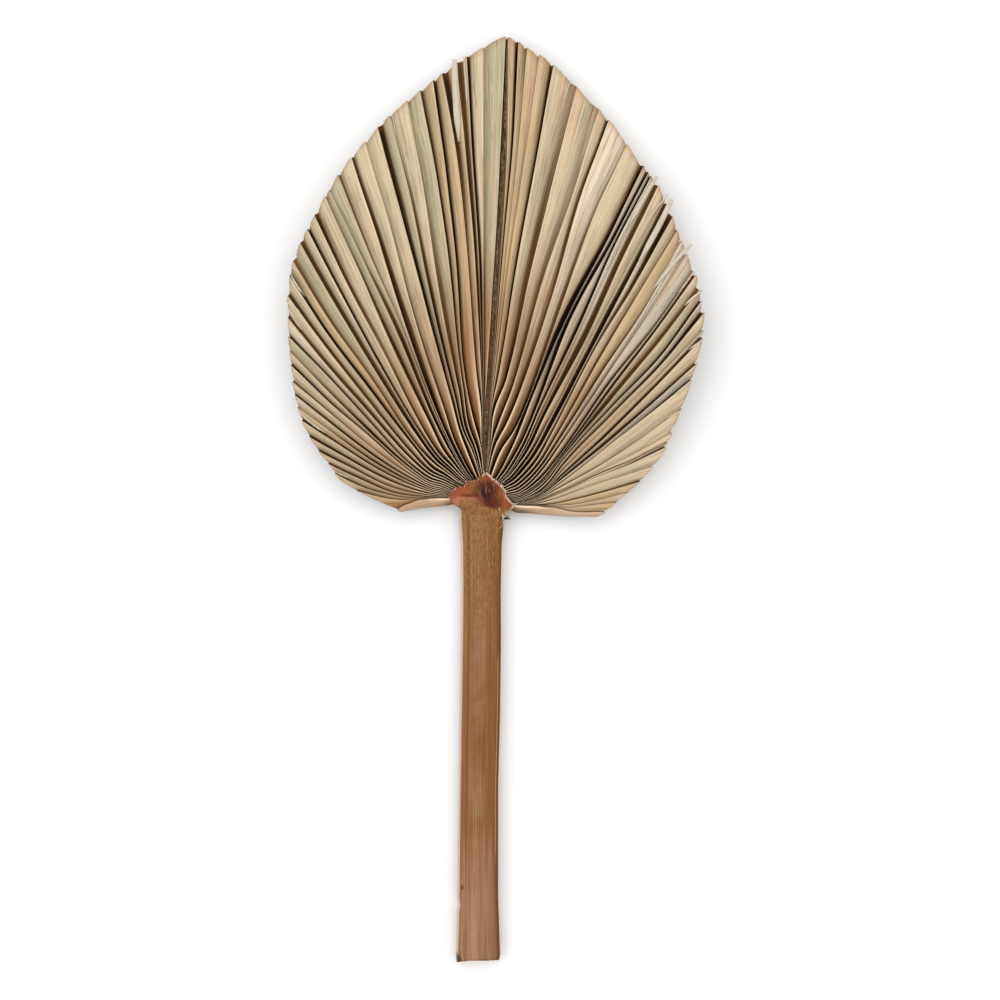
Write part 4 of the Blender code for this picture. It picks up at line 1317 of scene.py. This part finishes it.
def half_columns(side, shares, rng):
    """Lines of points of one half, outward from the midrib, and where the midrib ends."""
    folds, lines, walls, dark, spans = half_lines(side, shares)
    depth = pleat_depths(side, lines, walls, dark, shares)
    valley = [depth[0]] + [(a + b) / 2 for a, b in zip(depth, depth[1:])] + [depth[-1] * 0.5]
    foot = smooth(*RIDGE_FOOT, shares)
    columns = []
    for i, fold in enumerate(folds):
        tone = TONE_OF[fold.tone]
        inside = TONE_OF[folds[i - 1].tone] if i else tone
        ridge, outer = lines[i + 1], face_end(lines, walls, i)
        # Wall lines: painted shade, darkest toward the ridge
        for share in WALL_LINES:
            columns.append(Column(
                fold=side * (ridge - walls[i] * (1 - share)),
                rise=(depth[i] * share - valley[i] * (1 - share)) / 2,
                groove=dark[i] * min(1.0, WALL_DARK + WALL_DARK_GAIN * share),
                fall=1 - share,
                step=WALL_STEP + WALL_STEP_GAIN * share,
                tone=tone if share else inside,
            ))
        beyond = dark[i + 1] if i + 1 < len(dark) else 0.3 * dark[i]
        span = spans[min(i + 1, len(spans) - 1)]
        tight = np.clip(DARK_PITCH / span, 0, 1)
        thin = foot * smooth(*THIN_RIDGE_PITCH, span)
        shift = rng.uniform(*FACE_SHIFT)
        bulge = rng.uniform(*FACE_BULGE)
        # Face lines: painted highlight near the ridge, and painted shade of the next fold on the outer part
        # and near the foot
        for share in FACE_LINES:
            drop = share**FACE_FALL
            spread = FACE_SHADE * max(share - FACE_SHADE_FROM, 0) ** 2 * beyond
            gathered = foot * smooth(*FOOT_SHADE_FROM, share) * beyond
            gathered = gathered * (FOOT_SHADE_LEAST + (1 - FOOT_SHADE_LEAST) * tight**2)
            step = shift + FACE_STEP - FACE_STEP_LOSS * share**FACE_STEP_POWER
            step = step + bulge * math.sin(math.pi * share) + rng.uniform(*LINE_SHAKE)
            columns.append(Column(
                fold=side * (ridge + (outer - ridge) * share),
                rise=(depth[i] * (1 - drop) - valley[i + 1] * drop) / 2,
                groove=np.maximum(spread, gathered),
                fall=share,
                step=step,
                tone=tone,
                crest=smooth(*BROAD_RIDGE, share) * (1 - thin) + smooth(*THIN_RIDGE, share) * thin,
                ridge=float(share == 0),
            ))
    # The blade's lower edge line, with a little painted shade
    columns.append(Column(side * lines[-1], -valley[-1] / 2, groove=0.2, fall=1, step=0.0, tone="strip"))
    return columns, side * lines[0]


def blade_columns(rows):
    """The blade's lines of points from left to right, each with its values at every share."""
    shares = (np.arange(rows) / (rows - 1)) ** ROW_CROWDING
    rng = random.Random(EDGE_SEED)
    left, left_end = half_columns(-1, shares, rng)
    right, right_end = half_columns(1, shares, rng)
    midrib = []
    for i, share in enumerate(MIDRIB_LINES):
        sunk = i % 2 == 1
        # The midrib's left border and its sunk lines carry painted shade
        midrib.append(Column(
            fold=left_end + (right_end - left_end) * share,
            rise=-0.1 if sunk else -0.02,
            groove=0.55 if i == 0 else 0.3 * sunk,
            fall=0.5,
            step=MIDRIB_STEP + rng.uniform(*MIDRIB_SHAKE),
            tone="midrib",
        ))
    return shares, left[::-1] + midrib + right


def page_box():
    """Low and high corner of the solids' box on the page."""
    return [np.array(corner) / MM - PAGE_SHIFT for corner in CAD_BOX]


def foot_warmth(fold, radius):
    """Orange-brown of the foot, from 0 to 1: it reaches furthest beside the midrib."""
    reach = np.clip(1 - (radius - FOOT_COLOUR_FROM) / FOOT_COLOUR_OVER, 0, 1) ** FOOT_COLOUR_POWER
    beside = MIDDLE_SHARE * np.exp(-((fold / MIDDLE_WIDTH) ** 2))
    beside = beside + MIDRIB_SHARE * np.exp(-((fold / MIDRIB_WIDTH) ** 2))
    return reach * (FOOT_COLOUR_SHARE + beside - LOW_SHARE * smooth(*LOW_FOLDS, fold))


def blade_points(settings):
    """Place and values of every point of the pleated sheet: arrays of (line, row)."""
    shares, columns = blade_columns(settings.blade_rows)
    rng = random.Random(EDGE_SEED + 1)

    def along_columns(name):
        return np.array([np.broadcast_to(getattr(column, name), shares.shape) for column in columns])

    def painted(tone):
        return np.array([np.full(shares.shape, float(column.tone == tone)) for column in columns])

    fold, rise = along_columns("fold"), along_columns("rise")
    notches = np.array([rng.choice(EDGE_NOTCHES) * rng.random() for _ in columns])
    step = np.array([column.step for column in columns]) + notches
    inner = through(INNER, fold_angle(fold, np.full_like(fold, TURN_RADIUS)))
    ragged = LEAST_RAGGED + (1 - LEAST_RAGGED) * smooth(RAGGED_FROM, RAGGED_TO, fold[:, -1])
    outer = through(EDGE, fold) + (step * settings.margin_jag / MM * ragged - EDGE_TRIM)[:, None]
    radius = inner + (outer - inner) * shares
    x, y = plan(fold, radius)
    low_corner, high_corner = page_box()
    x = np.clip(x, low_corner[0] + BOX_MARGIN, high_corner[0] - BOX_MARGIN)
    y = np.minimum(y, high_corner[1] - BOX_MARGIN)
    highest = high_corner[2] - BOX_MARGIN - (settings.sheet_thickness + settings.vein_depth) / MM / 2
    at = int(len(shares) * VEIN_STATION)
    gaps = np.hypot(np.diff(x[:, at]), np.diff(y[:, at]))
    values = {
        "bed": np.minimum(sheet_height(x, y), highest - rise * settings.pleat_depth / MM),
        "rise": rise,
        "low": np.broadcast_to(smooth(*COLOUR_FOOT, shares), x.shape),
        "foot": foot_warmth(fold, radius),
        "margin": smooth(-2.0, 0.0, radius - outer),
        "across": np.repeat(np.concatenate(((0,), np.cumsum(gaps)))[:, None], len(shares), axis=1),
        "along": radius,
    }
    values.update((name, along_columns(name)) for name in ("groove", "crest", "ridge", "fall"))
    values.update((tone, painted(tone)) for tone in ("midrib", *TONE_OF.values()) if tone)
    return x, y, values


def closed_sheet(name, x, y):
    """Flat sheet from points by (line, row), with an underside and a wall all round."""
    lines, rows = x.shape
    flat = np.column_stack((x.ravel(), y.ravel(), np.zeros(x.size)))
    index = np.arange(x.size).reshape(lines, rows)
    top = np.stack((index[:-1, :-1], index[1:, :-1], index[1:, 1:], index[:-1, 1:]), axis=-1)
    top = top.reshape(-1, 4)
    under = top[:, ::-1] + x.size
    around = np.concatenate((index[:-1, 0], index[-1, :-1], index[:0:-1, -1], index[0, :0:-1]))
    following = np.roll(around, -1)
    wall = np.stack((following, around, around + x.size, following + x.size), axis=-1)
    return mesh_object(name, np.concatenate((flat, flat)), np.concatenate((top, under, wall)).tolist())


class PALMFAN_OT_blade(bpy.types.Operator):
    """Build the pleated blade with its ragged edge"""

    bl_idname = "palm_fan.blade"
    bl_label = "Blade"

    def execute(self, context):
        settings = context.scene.palm_fan_sizes
        x, y, values = blade_points(settings)
        blade = closed_sheet("palm_blade", x, y)
        both = {name: np.tile(value.ravel(), 2) for name, value in values.items()}
        both["face"] = np.repeat((1.0, -1.0), x.size)
        give_values(blade, both)
        give_map(blade, "fold_map", both["across"], both["along"])
        inputs = {
            "Pleat Depth": settings.pleat_depth / MM,
            "Sheet Thickness": settings.sheet_thickness / MM,
            "Vein Depth": settings.vein_depth / MM,
            "Material": blade_material(context.scene.palm_fan_colours),
        }
        run_tree(blade, raise_pleats, inputs)
        blade.data.shade_smooth()
        finish_mesh(blade, "blade", "blade")
        return {"FINISHED"}


# Stalk

def at_stations(table, y, *columns):
    """Values between a table's stations, whose first column is y."""
    return [np.interp(y, table[:, 0], table[:, i]) for i in columns]


def stalk_top(x, y):
    """Height of the stalk's hollow top face."""
    centre, half_width, top = at_stations(np.array(STALK, float), y, 1, 2, 4)
    across = np.clip(np.abs(x - centre) / half_width, 0, 1)
    return top - CHANNEL_DEPTH * (1 - across**2)


def costa_top(y):
    """Highest that the costa may reach below the blade's central folds."""
    radius = y - FAN_Y
    fold = np.minimum(CREASE_DEPTH, CREASE_DEPTH_FOOT + CREASE_DEPTH_RISE * radius)
    thickness = CAD_THICKNESS + CAD_FOOT_THICKNESS * np.exp(-(radius - NECK_RADIUS) / FOOT_REACH)
    return middle_height(radius) - fold - thickness / 2 - COSTA_GAP


def stalk_table():
    """The stalk's stations and the costa's after them."""
    stations = list(STALK)
    for y, aside, half_width, under in COSTA:
        stations.append((y, float(crease_x(y)) - aside, half_width, under, float(costa_top(y))))
    return np.array(stations, float)


def stalk_section():
    """Cross-section of the stalk, flattest on top: places across and up, from -1 to 1."""
    turn = 2 * np.pi * (np.arange(STALK_SIDES) + 0.5) / STALK_SIDES
    power = np.where(np.sin(turn) > 0, TOP_SQUARENESS, UNDER_SQUARENESS)
    return [np.sign(wave) * np.abs(wave) ** (2 / power) for wave in (np.cos(turn), np.sin(turn))]


def stalk_rings(table, across, up, rng):
    """Rings of points from the ragged cut end to the costa's tip."""
    between = np.arange(table[0, 0], table[-1, 0], STALK_STEP)
    apart = np.abs(between[:, None] - table[:, 0]).min(axis=1) > STALK_STEP / 3
    ys = np.sort(np.concatenate((table[:, 0], between[apart])))
    rings = []
    for y in ys:
        centre, half, under, top = at_stations(table, y, 1, 2, 3, 4)
        channel = CHANNEL_DEPTH * (1 - smooth(NECK_END, CHANNEL_END, y))
        nick = NICK_DEPTH * np.exp(-(((y - NICK_Y) / NICK_REACH) ** 2)) * (across < -0.6) * (up > -0.4)
        px = centre + half * across + nick
        pz = (under + top) / 2 + (top - under) / 2 * up - np.where(up > 0, channel * (1 - across**2), 0)
        py = np.full_like(px, y)
        if y < ys[0] + CUT_REACH:
            ragged = np.array([rng.uniform(0, CUT_RAGGED) for _ in range(STALK_SIDES)])
            py += (1 - (y - ys[0]) / CUT_REACH) * (CUT_SLANT * (1 + across) + ragged)
        rings.append(np.column_stack((px, py, np.maximum(pz, LEAST_HEIGHT))))
    return rings


def cut_rings(outer, rng):
    """Rings of the rough cut face, from its middle outward."""
    middle = outer.mean(0)
    rings = []
    for share, sink in CUT_FACE:
        ring = middle + (outer - middle) * share
        ring[:, 1] = outer[:, 1] + sink + np.array([rng.uniform(*CUT_ROUGH) for _ in range(STALK_SIDES)])
        rings.append(ring)
    return rings


def closed_bar(name, rings):
    """Closed skin over rings, whose ends are drawn in to middle points: (object, its points)."""
    rings = np.array(rings)
    count, sides = rings.shape[:2]
    index = np.arange(count * sides).reshape(count, sides)
    a, b = index[:-1], index[1:]
    faces = np.stack((a, np.roll(a, -1, 1), np.roll(b, -1, 1), b), axis=-1).reshape(-1, 4).tolist()
    first, last = index.size, index.size + 1
    faces += [(first, b, a) for a, b in zip(index[0].tolist(), np.roll(index[0], -1).tolist())]
    faces += [(last, a, b) for a, b in zip(index[-1].tolist(), np.roll(index[-1], -1).tolist())]
    points = np.concatenate((rings.reshape(-1, 3), [rings[0].mean(0)], [rings[-1].mean(0)]))
    return mesh_object(name, points, faces), points


class PALMFAN_OT_stalk(bpy.types.Operator):
    """Build the flat stalk with its cut end, and the costa below the blade"""

    bl_idname = "palm_fan.stalk"
    bl_label = "Stalk"

    def execute(self, context):
        settings = context.scene.palm_fan_sizes
        rng = random.Random(STALK_SEED)
        table = stalk_table()
        across, up = stalk_section()
        rings = stalk_rings(table, across, up, rng)
        cut_face = cut_rings(rings[0], rng)
        tip = rings[-1].mean(0) + (rings[-1] - rings[-1].mean(0)) * 0.5
        stalk, points = closed_bar("palm_stalk", [*cut_face, *rings, tip])
        x, y, _ = points.T
        centre, half = at_stations(table, y, 1, 2)
        in_cut = len(cut_face) * STALK_SIDES
        cut = np.zeros(len(points))
        cut[:in_cut] = 1
        cut[-2] = 1
        top = np.zeros(len(points))
        top[in_cut:-2] = np.tile(smooth(*TOP_FACE, up), len(rings) + 1)
        near_nick = np.exp(-(((y - NICK_Y) / NICK_PALE_REACH) ** 2)) * (x < centre - half * NICK_PALE_FROM)
        grain = smooth(*GRAIN_END, y) * smooth(*GRAIN_START, y)
        values = {
            "side": np.clip((x - centre) / half, -1, 1),
            "top": top,
            "cut": np.maximum(cut, near_nick),
            "grain_share": np.where(cut > 0, 0.0, grain),
        }
        give_values(stalk, values)
        inputs = {
            "Grain Depth": settings.bark_depth / MM,
            "Grain Width": 0.9,
            "Grain Length": 70.0,
            "Material": stalk_material(context.scene.palm_fan_colours),
        }
        run_tree(stalk, raise_grain, inputs)
        stalk.data.shade_smooth()
        finish_mesh(stalk, "stalk", "stalk")
        return {"FINISHED"}


# Hastula

def hastula_outline(torn):
    """The outline with its torn, uneven rim, finer between the corners."""
    rng = random.Random(HASTULA_SEED)
    corners = np.array(HASTULA)
    steps = np.arange(HASTULA_SPLITS)[:, None] / HASTULA_SPLITS
    sides = zip(corners, np.roll(corners, -1, axis=0))
    points = np.concatenate([corner + (following - corner) * steps for corner, following in sides])
    middle = np.array(HASTULA_CENTRE)
    away = points - middle
    reach = np.hypot(*away.T)
    ragged = np.array([rng.random() ** 2 for _ in points])
    ragged = 0.6 * ragged + 0.4 * np.roll(ragged, 1)
    upper = 0.25 + 0.75 * smooth(*HASTULA_TORN, points[:, 1])
    return middle + away * (1 - torn * ragged * upper / reach)[:, None]


def hastula_heights(x, y, share):
    """Floor and top of the hastula at each point, which lies a share of the way out to its rim."""
    low = smooth(*HASTULA_LOW, y)
    bed = np.minimum(stalk_top(x, np.minimum(y, NECK_END)) - HASTULA_SINK, HASTULA_FLOOR)
    on_stalk = np.abs(x - NECK_X) < NECK_HALF_WIDTH
    floor = np.where(on_stalk, HASTULA_FLOOR * (1 - low) + bed * low, HASTULA_FLOOR)
    rim = HASTULA_RIM * (1 - 0.72 * low)
    crown = HASTULA_CROWN * (1 - share**2) * (1 - 0.35 * low)
    folds = sum(
        SMALL_FOLD_HEIGHT
        * np.exp(-(((x - fold_x) / SMALL_FOLD_SIZE[0]) ** 2) - ((y - fold_y) / SMALL_FOLD_SIZE[1]) ** 2)
        for fold_x, fold_y in SMALL_FOLDS
    )
    across_groove = np.exp(-(((x + y - GROOVE_PLACE) / GROOVE_WIDTH) ** 2))
    groove = -GROOVE_DEPTH * across_groove * smooth(10, 7, np.abs(y - 6.0) * 1.6)
    turn = np.arctan2(y - HASTULA_CENTRE[1], x - HASTULA_CENTRE[0])
    rays = RAY_HEIGHT * np.sin(turn * RAYS + 1.3 * np.sin(share * 6)) * share**2
    top = floor + rim + crown + folds + np.maximum(groove, -0.4) + rays * (1 - low)
    return floor, np.maximum(top, floor + HASTULA_LEAST)


class PALMFAN_OT_hastula(bpy.types.Operator):
    """Build the pointed hastula with its torn rim and small folds"""

    bl_idname = "palm_fan.hastula"
    bl_label = "Hastula"

    def execute(self, context):
        settings = context.scene.palm_fan_sizes
        outline = hastula_outline(settings.torn_depth / MM)
        shares = (np.arange(1, HASTULA_RINGS + 1) / HASTULA_RINGS) ** 0.85
        middle = np.array(HASTULA_CENTRE)
        x, y = np.moveaxis(middle + (outline - middle) * shares[:, None, None], -1, 0)
        floor, top = hastula_heights(x, y, np.broadcast_to(shares[:, None], x.shape))
        under = np.stack((x, y, floor), axis=-1)
        upper = np.stack((x, y, top), axis=-1)[::-1]
        hastula, points = closed_bar("palm_hastula", np.concatenate((under, upper)))
        out = np.concatenate((np.repeat(np.concatenate((shares, shares[::-1])), len(outline)), (0, 0)))
        px, py, _ = points.T
        values = {
            "rim": smooth(0.86, 0.99, out) * smooth(0.0, 5.0, py + 0.6 * np.maximum(px, 0)),
            "grain_share": 0.4 * (1 - smooth(0.97, 1.0, out)),
        }
        give_values(hastula, values)
        inputs = {
            "Grain Depth": settings.bark_depth / MM,
            "Grain Width": 0.8,
            "Grain Length": 9.0,
            "Material": hastula_material(context.scene.palm_fan_colours),
        }
        run_tree(hastula, raise_grain, inputs)
        hastula.data.shade_smooth()
        finish_mesh(hastula, "hastula", "hastula")
        return {"FINISHED"}


# Slivers and fibres

def strand_piece(name, strands, width, thickness, material, node):
    """Piece of thin strands from lines of (x, y, z, share of the width) that stands for a node."""
    points, edges = [], []
    for strand in strands:
        edges += [(len(points) + i, len(points) + i + 1) for i in range(len(strand) - 1)]
        points += strand
    obj = mesh_object(name, [point[:3] for point in points], [], edges)
    give_values(obj, {"width": [point[3] for point in points]})
    run_tree(obj, lay_strands, {"Width": width, "Thickness": thickness, "Material": material})
    finish_mesh(obj, node, node)


def sliver_line(sliver, x, y, along, surface, corners):
    """Line of one torn sliver, which lies on the blade and stands out at its edge."""
    fold, start, out, width, lean = sliver
    low_corner, high_corner = corners
    edge = float(through(EDGE, np.array(fold))) - EDGE_TRIM
    taper = 0.9 - 0.6 * min(1.0, width / 2)
    strand = []
    for k in range(SLIVER_POINTS):
        share = k / (SLIVER_POINTS - 1)
        radius = edge - start + (start + out) * share
        px, py = plan(np.array(fold + lean * share**2 * 0.5), radius)
        wide = width * min(1.0, 3 * share + 0.2) * (1 - taper * share**7)
        room = BOX_MARGIN + wide * SLIVER_WIDTH / 2
        px = min(max(float(px), low_corner[0] + room), high_corner[0] - room)
        py = min(float(py), high_corner[1] - room)
        ahead = along - radius
        aside = (x - px) ** 2 + (y - py) ** 2 - ahead**2
        below = surface[(np.abs(ahead) < SLIVER_BED * edge) & (aside < (SLIVER_WIDTH * wide / 2) ** 2)]
        pz = float(below.max()) if below.size else strand[-1][2] if strand else 0.0
        strand.append([px, py, pz, wide])
    heights = [point[2] for point in strand]
    for k, point in enumerate(strand):
        point[2] = min(max(heights[max(k - 1, 0):k + 2]) + SLIVER_LIFT, high_corner[2] - BOX_MARGIN)
    return strand


class PALMFAN_OT_slivers(bpy.types.Operator):
    """Build the torn slivers that stand out at the blade's edge"""

    bl_idname = "palm_fan.slivers"
    bl_label = "Slivers"

    def execute(self, context):
        settings = context.scene.palm_fan_sizes
        colours = context.scene.palm_fan_colours
        x, y, values = blade_points(settings)
        surface = values["bed"] + values["rise"] * (settings.pleat_depth / MM)
        surface = surface + settings.sheet_thickness / MM / 2
        corners = page_box()
        strands = [sliver_line(sliver, x, y, values["along"], surface, corners) for sliver in SLIVERS]
        material = strand_material("sliver_straw", colours.weathered, colours.tan)
        strand_piece("edge_slivers", strands, SLIVER_WIDTH, SLIVER_THICKNESS, material, "blade")
        return {"FINISHED"}


def fibre_line(fibre, length, rng):
    """Line of one loose fibre: on the stalk below the neck's end, on the hastula above it."""
    x, y, turn, reach, bend = fibre
    strand = []
    for k in range(FIBRE_POINTS):
        share = k / (FIBRE_POINTS - 1)
        heading = math.radians(turn) + bend * share
        px = x + length * reach * share * math.cos(heading)
        py = y + length * reach * share * math.sin(heading)
        if py < NECK_END:
            pz = float(stalk_top(px, py)) + FIBRE_LIFT
        else:
            pz = HASTULA_FLOOR + HASTULA_RIM + 0.1 + rng.uniform(0, 0.1)
        strand.append((px, py, pz, 1 - 0.75 * share))
    return strand


class PALMFAN_OT_fibres(bpy.types.Operator):
    """Build the loose fibres at the hastula's rim, at its right corner and along the stalk's neck, and dark
    strands of painted shadow right of the neck
    """

    bl_idname = "palm_fan.fibres"
    bl_label = "Fibres"

    def execute(self, context):
        settings = context.scene.palm_fan_sizes
        colours = context.scene.palm_fan_colours
        rng = random.Random(FIBRE_SEED)
        length, width = settings.fibre_length / MM, 2 * settings.fibre_radius / MM
        loose = [fibre_line(fibre, length, rng) for fibre in LOOSE_FIBRES]
        pale = strand_material("fibre_pale", colours.torn, colours.stalk_edge)
        strand_piece("loose_fibres", loose, width * 1.6, width, pale, "hastula")
        # Dark strands laid as painted shadow right of the neck
        torn = [
            [(px, py, float(stalk_top(px, py)) - NECK_SHADOW_SINK, share) for px, py, share in line]
            for line in NECK_SHADOW_STRANDS
        ]
        dark = strand_material("neck_shadow_dark", colours.hastula_heart, colours.dark)
        strand_piece("neck_shadow", torn, *NECK_SHADOW_SIZE, dark, "hastula")
        return {"FINISHED"}


# Stage, in metres

FLOOR_HALF, FLOOR_DEPTH = 4.0, 0.0002
FLOOR_CORNERS = ((-1, -1), (1, -1), (1, 1), (-1, 1))
MIDDLE_X, MIDDLE_Y = PAGE_SHIFT[0] * MM + 0.003, PAGE_SHIFT[1] * MM
KEY_SIZE, KEY_PLACE, KEY_TILT = 3.6, (-0.6, 0.7, 2.6), (-15, -13)
SENSOR_WIDTH = 36
CAMERA_RANGE = (0.05, 50)


def lay_floor(colour):
    """Pale floor just below the leaf."""
    corners = [(x * FLOOR_HALF, y * FLOOR_HALF, -FLOOR_DEPTH) for x, y in FLOOR_CORNERS]
    floor = mesh_object("floor", corners, [(0, 1, 2, 3)])
    material, _, shader = new_material("floor_white", 0.9, 0.0)
    shader.inputs["Base Color"].default_value = (*colour, 1)
    floor.data.materials.append(material)


class PALMFAN_OT_stage(bpy.types.Operator):
    """Lay the pale floor, the soft light and the camera looking straight down"""

    bl_idname = "palm_fan.stage"
    bl_label = "Stage"

    def execute(self, context):
        settings = context.scene.palm_fan_stage
        scene = context.scene
        lay_floor(settings.floor)
        world = bpy.data.worlds.new("even_light")
        world.use_nodes = True
        background = world.node_tree.nodes["Background"]
        background.inputs["Color"].default_value = (1, 1, 1, 1)
        background.inputs["Strength"].default_value = settings.sky
        scene.world = world
        lamp = bpy.data.lights.new("soft_key", "AREA")
        lamp.size = KEY_SIZE
        lamp.energy = settings.key
        light = bpy.data.objects.new("soft_key", lamp)
        light.location = (MIDDLE_X + KEY_PLACE[0], MIDDLE_Y + KEY_PLACE[1], KEY_PLACE[2])
        light.rotation_euler = (*map(math.radians, KEY_TILT), 0)
        scene.collection.objects.link(light)
        view = bpy.data.cameras.new("camera")
        view.lens = settings.lens
        view.sensor_width = SENSOR_WIDTH
        view.clip_start, view.clip_end = CAMERA_RANGE
        camera = bpy.data.objects.new("camera", view)
        camera.location = (MIDDLE_X, MIDDLE_Y, settings.camera_height)
        scene.collection.objects.link(camera)
        scene.camera = camera
        scene.view_settings.view_transform = "Standard"
        return {"FINISHED"}


class PALMFAN_PT_panel(bpy.types.Panel):
    """Sizes, colours and building steps of the palm fan"""

    bl_label = "Palm Fan"
    bl_idname = "PALMFAN_PT_panel"
    bl_space_type = "VIEW_3D"
    bl_region_type = "UI"
    bl_category = "Palm Fan"

    def draw(self, context):
        for title, settings in (
            ("Sizes", context.scene.palm_fan_sizes),
            ("Colours", context.scene.palm_fan_colours),
            ("Stage", context.scene.palm_fan_stage),
        ):
            box = self.layout.box()
            box.label(text=title)
            for name in settings.bl_rna.properties.keys():
                if name not in ("rna_type", "name"):
                    box.prop(settings, name)
        for operator in BUILDING_STEPS:
            self.layout.operator(operator.bl_idname)


SETTINGS = {
    "palm_fan_sizes": PALMFAN_PG_sizes,
    "palm_fan_colours": PALMFAN_PG_colours,
    "palm_fan_stage": PALMFAN_PG_stage,
}
BUILDING_STEPS = (
    PALMFAN_OT_blade,
    PALMFAN_OT_slivers,
    PALMFAN_OT_stalk,
    PALMFAN_OT_hastula,
    PALMFAN_OT_fibres,
    PALMFAN_OT_stage,
)
CLASSES = (*SETTINGS.values(), *BUILDING_STEPS, PALMFAN_PT_panel)


def register():
    for cls in CLASSES:
        bpy.utils.register_class(cls)
    for name, cls in SETTINGS.items():
        setattr(bpy.types.Scene, name, bpy.props.PointerProperty(type=cls))


def unregister():
    for name in SETTINGS:
        delattr(bpy.types.Scene, name)
    for cls in reversed(CLASSES):
        bpy.utils.unregister_class(cls)


def main():
    register()
    bpy.ops.palm_fan.blade()
    bpy.ops.palm_fan.slivers()
    bpy.ops.palm_fan.stalk()
    bpy.ops.palm_fan.hastula()
    bpy.ops.palm_fan.fibres()
    bpy.ops.palm_fan.stage()


if __name__ == "__main__":
    main()
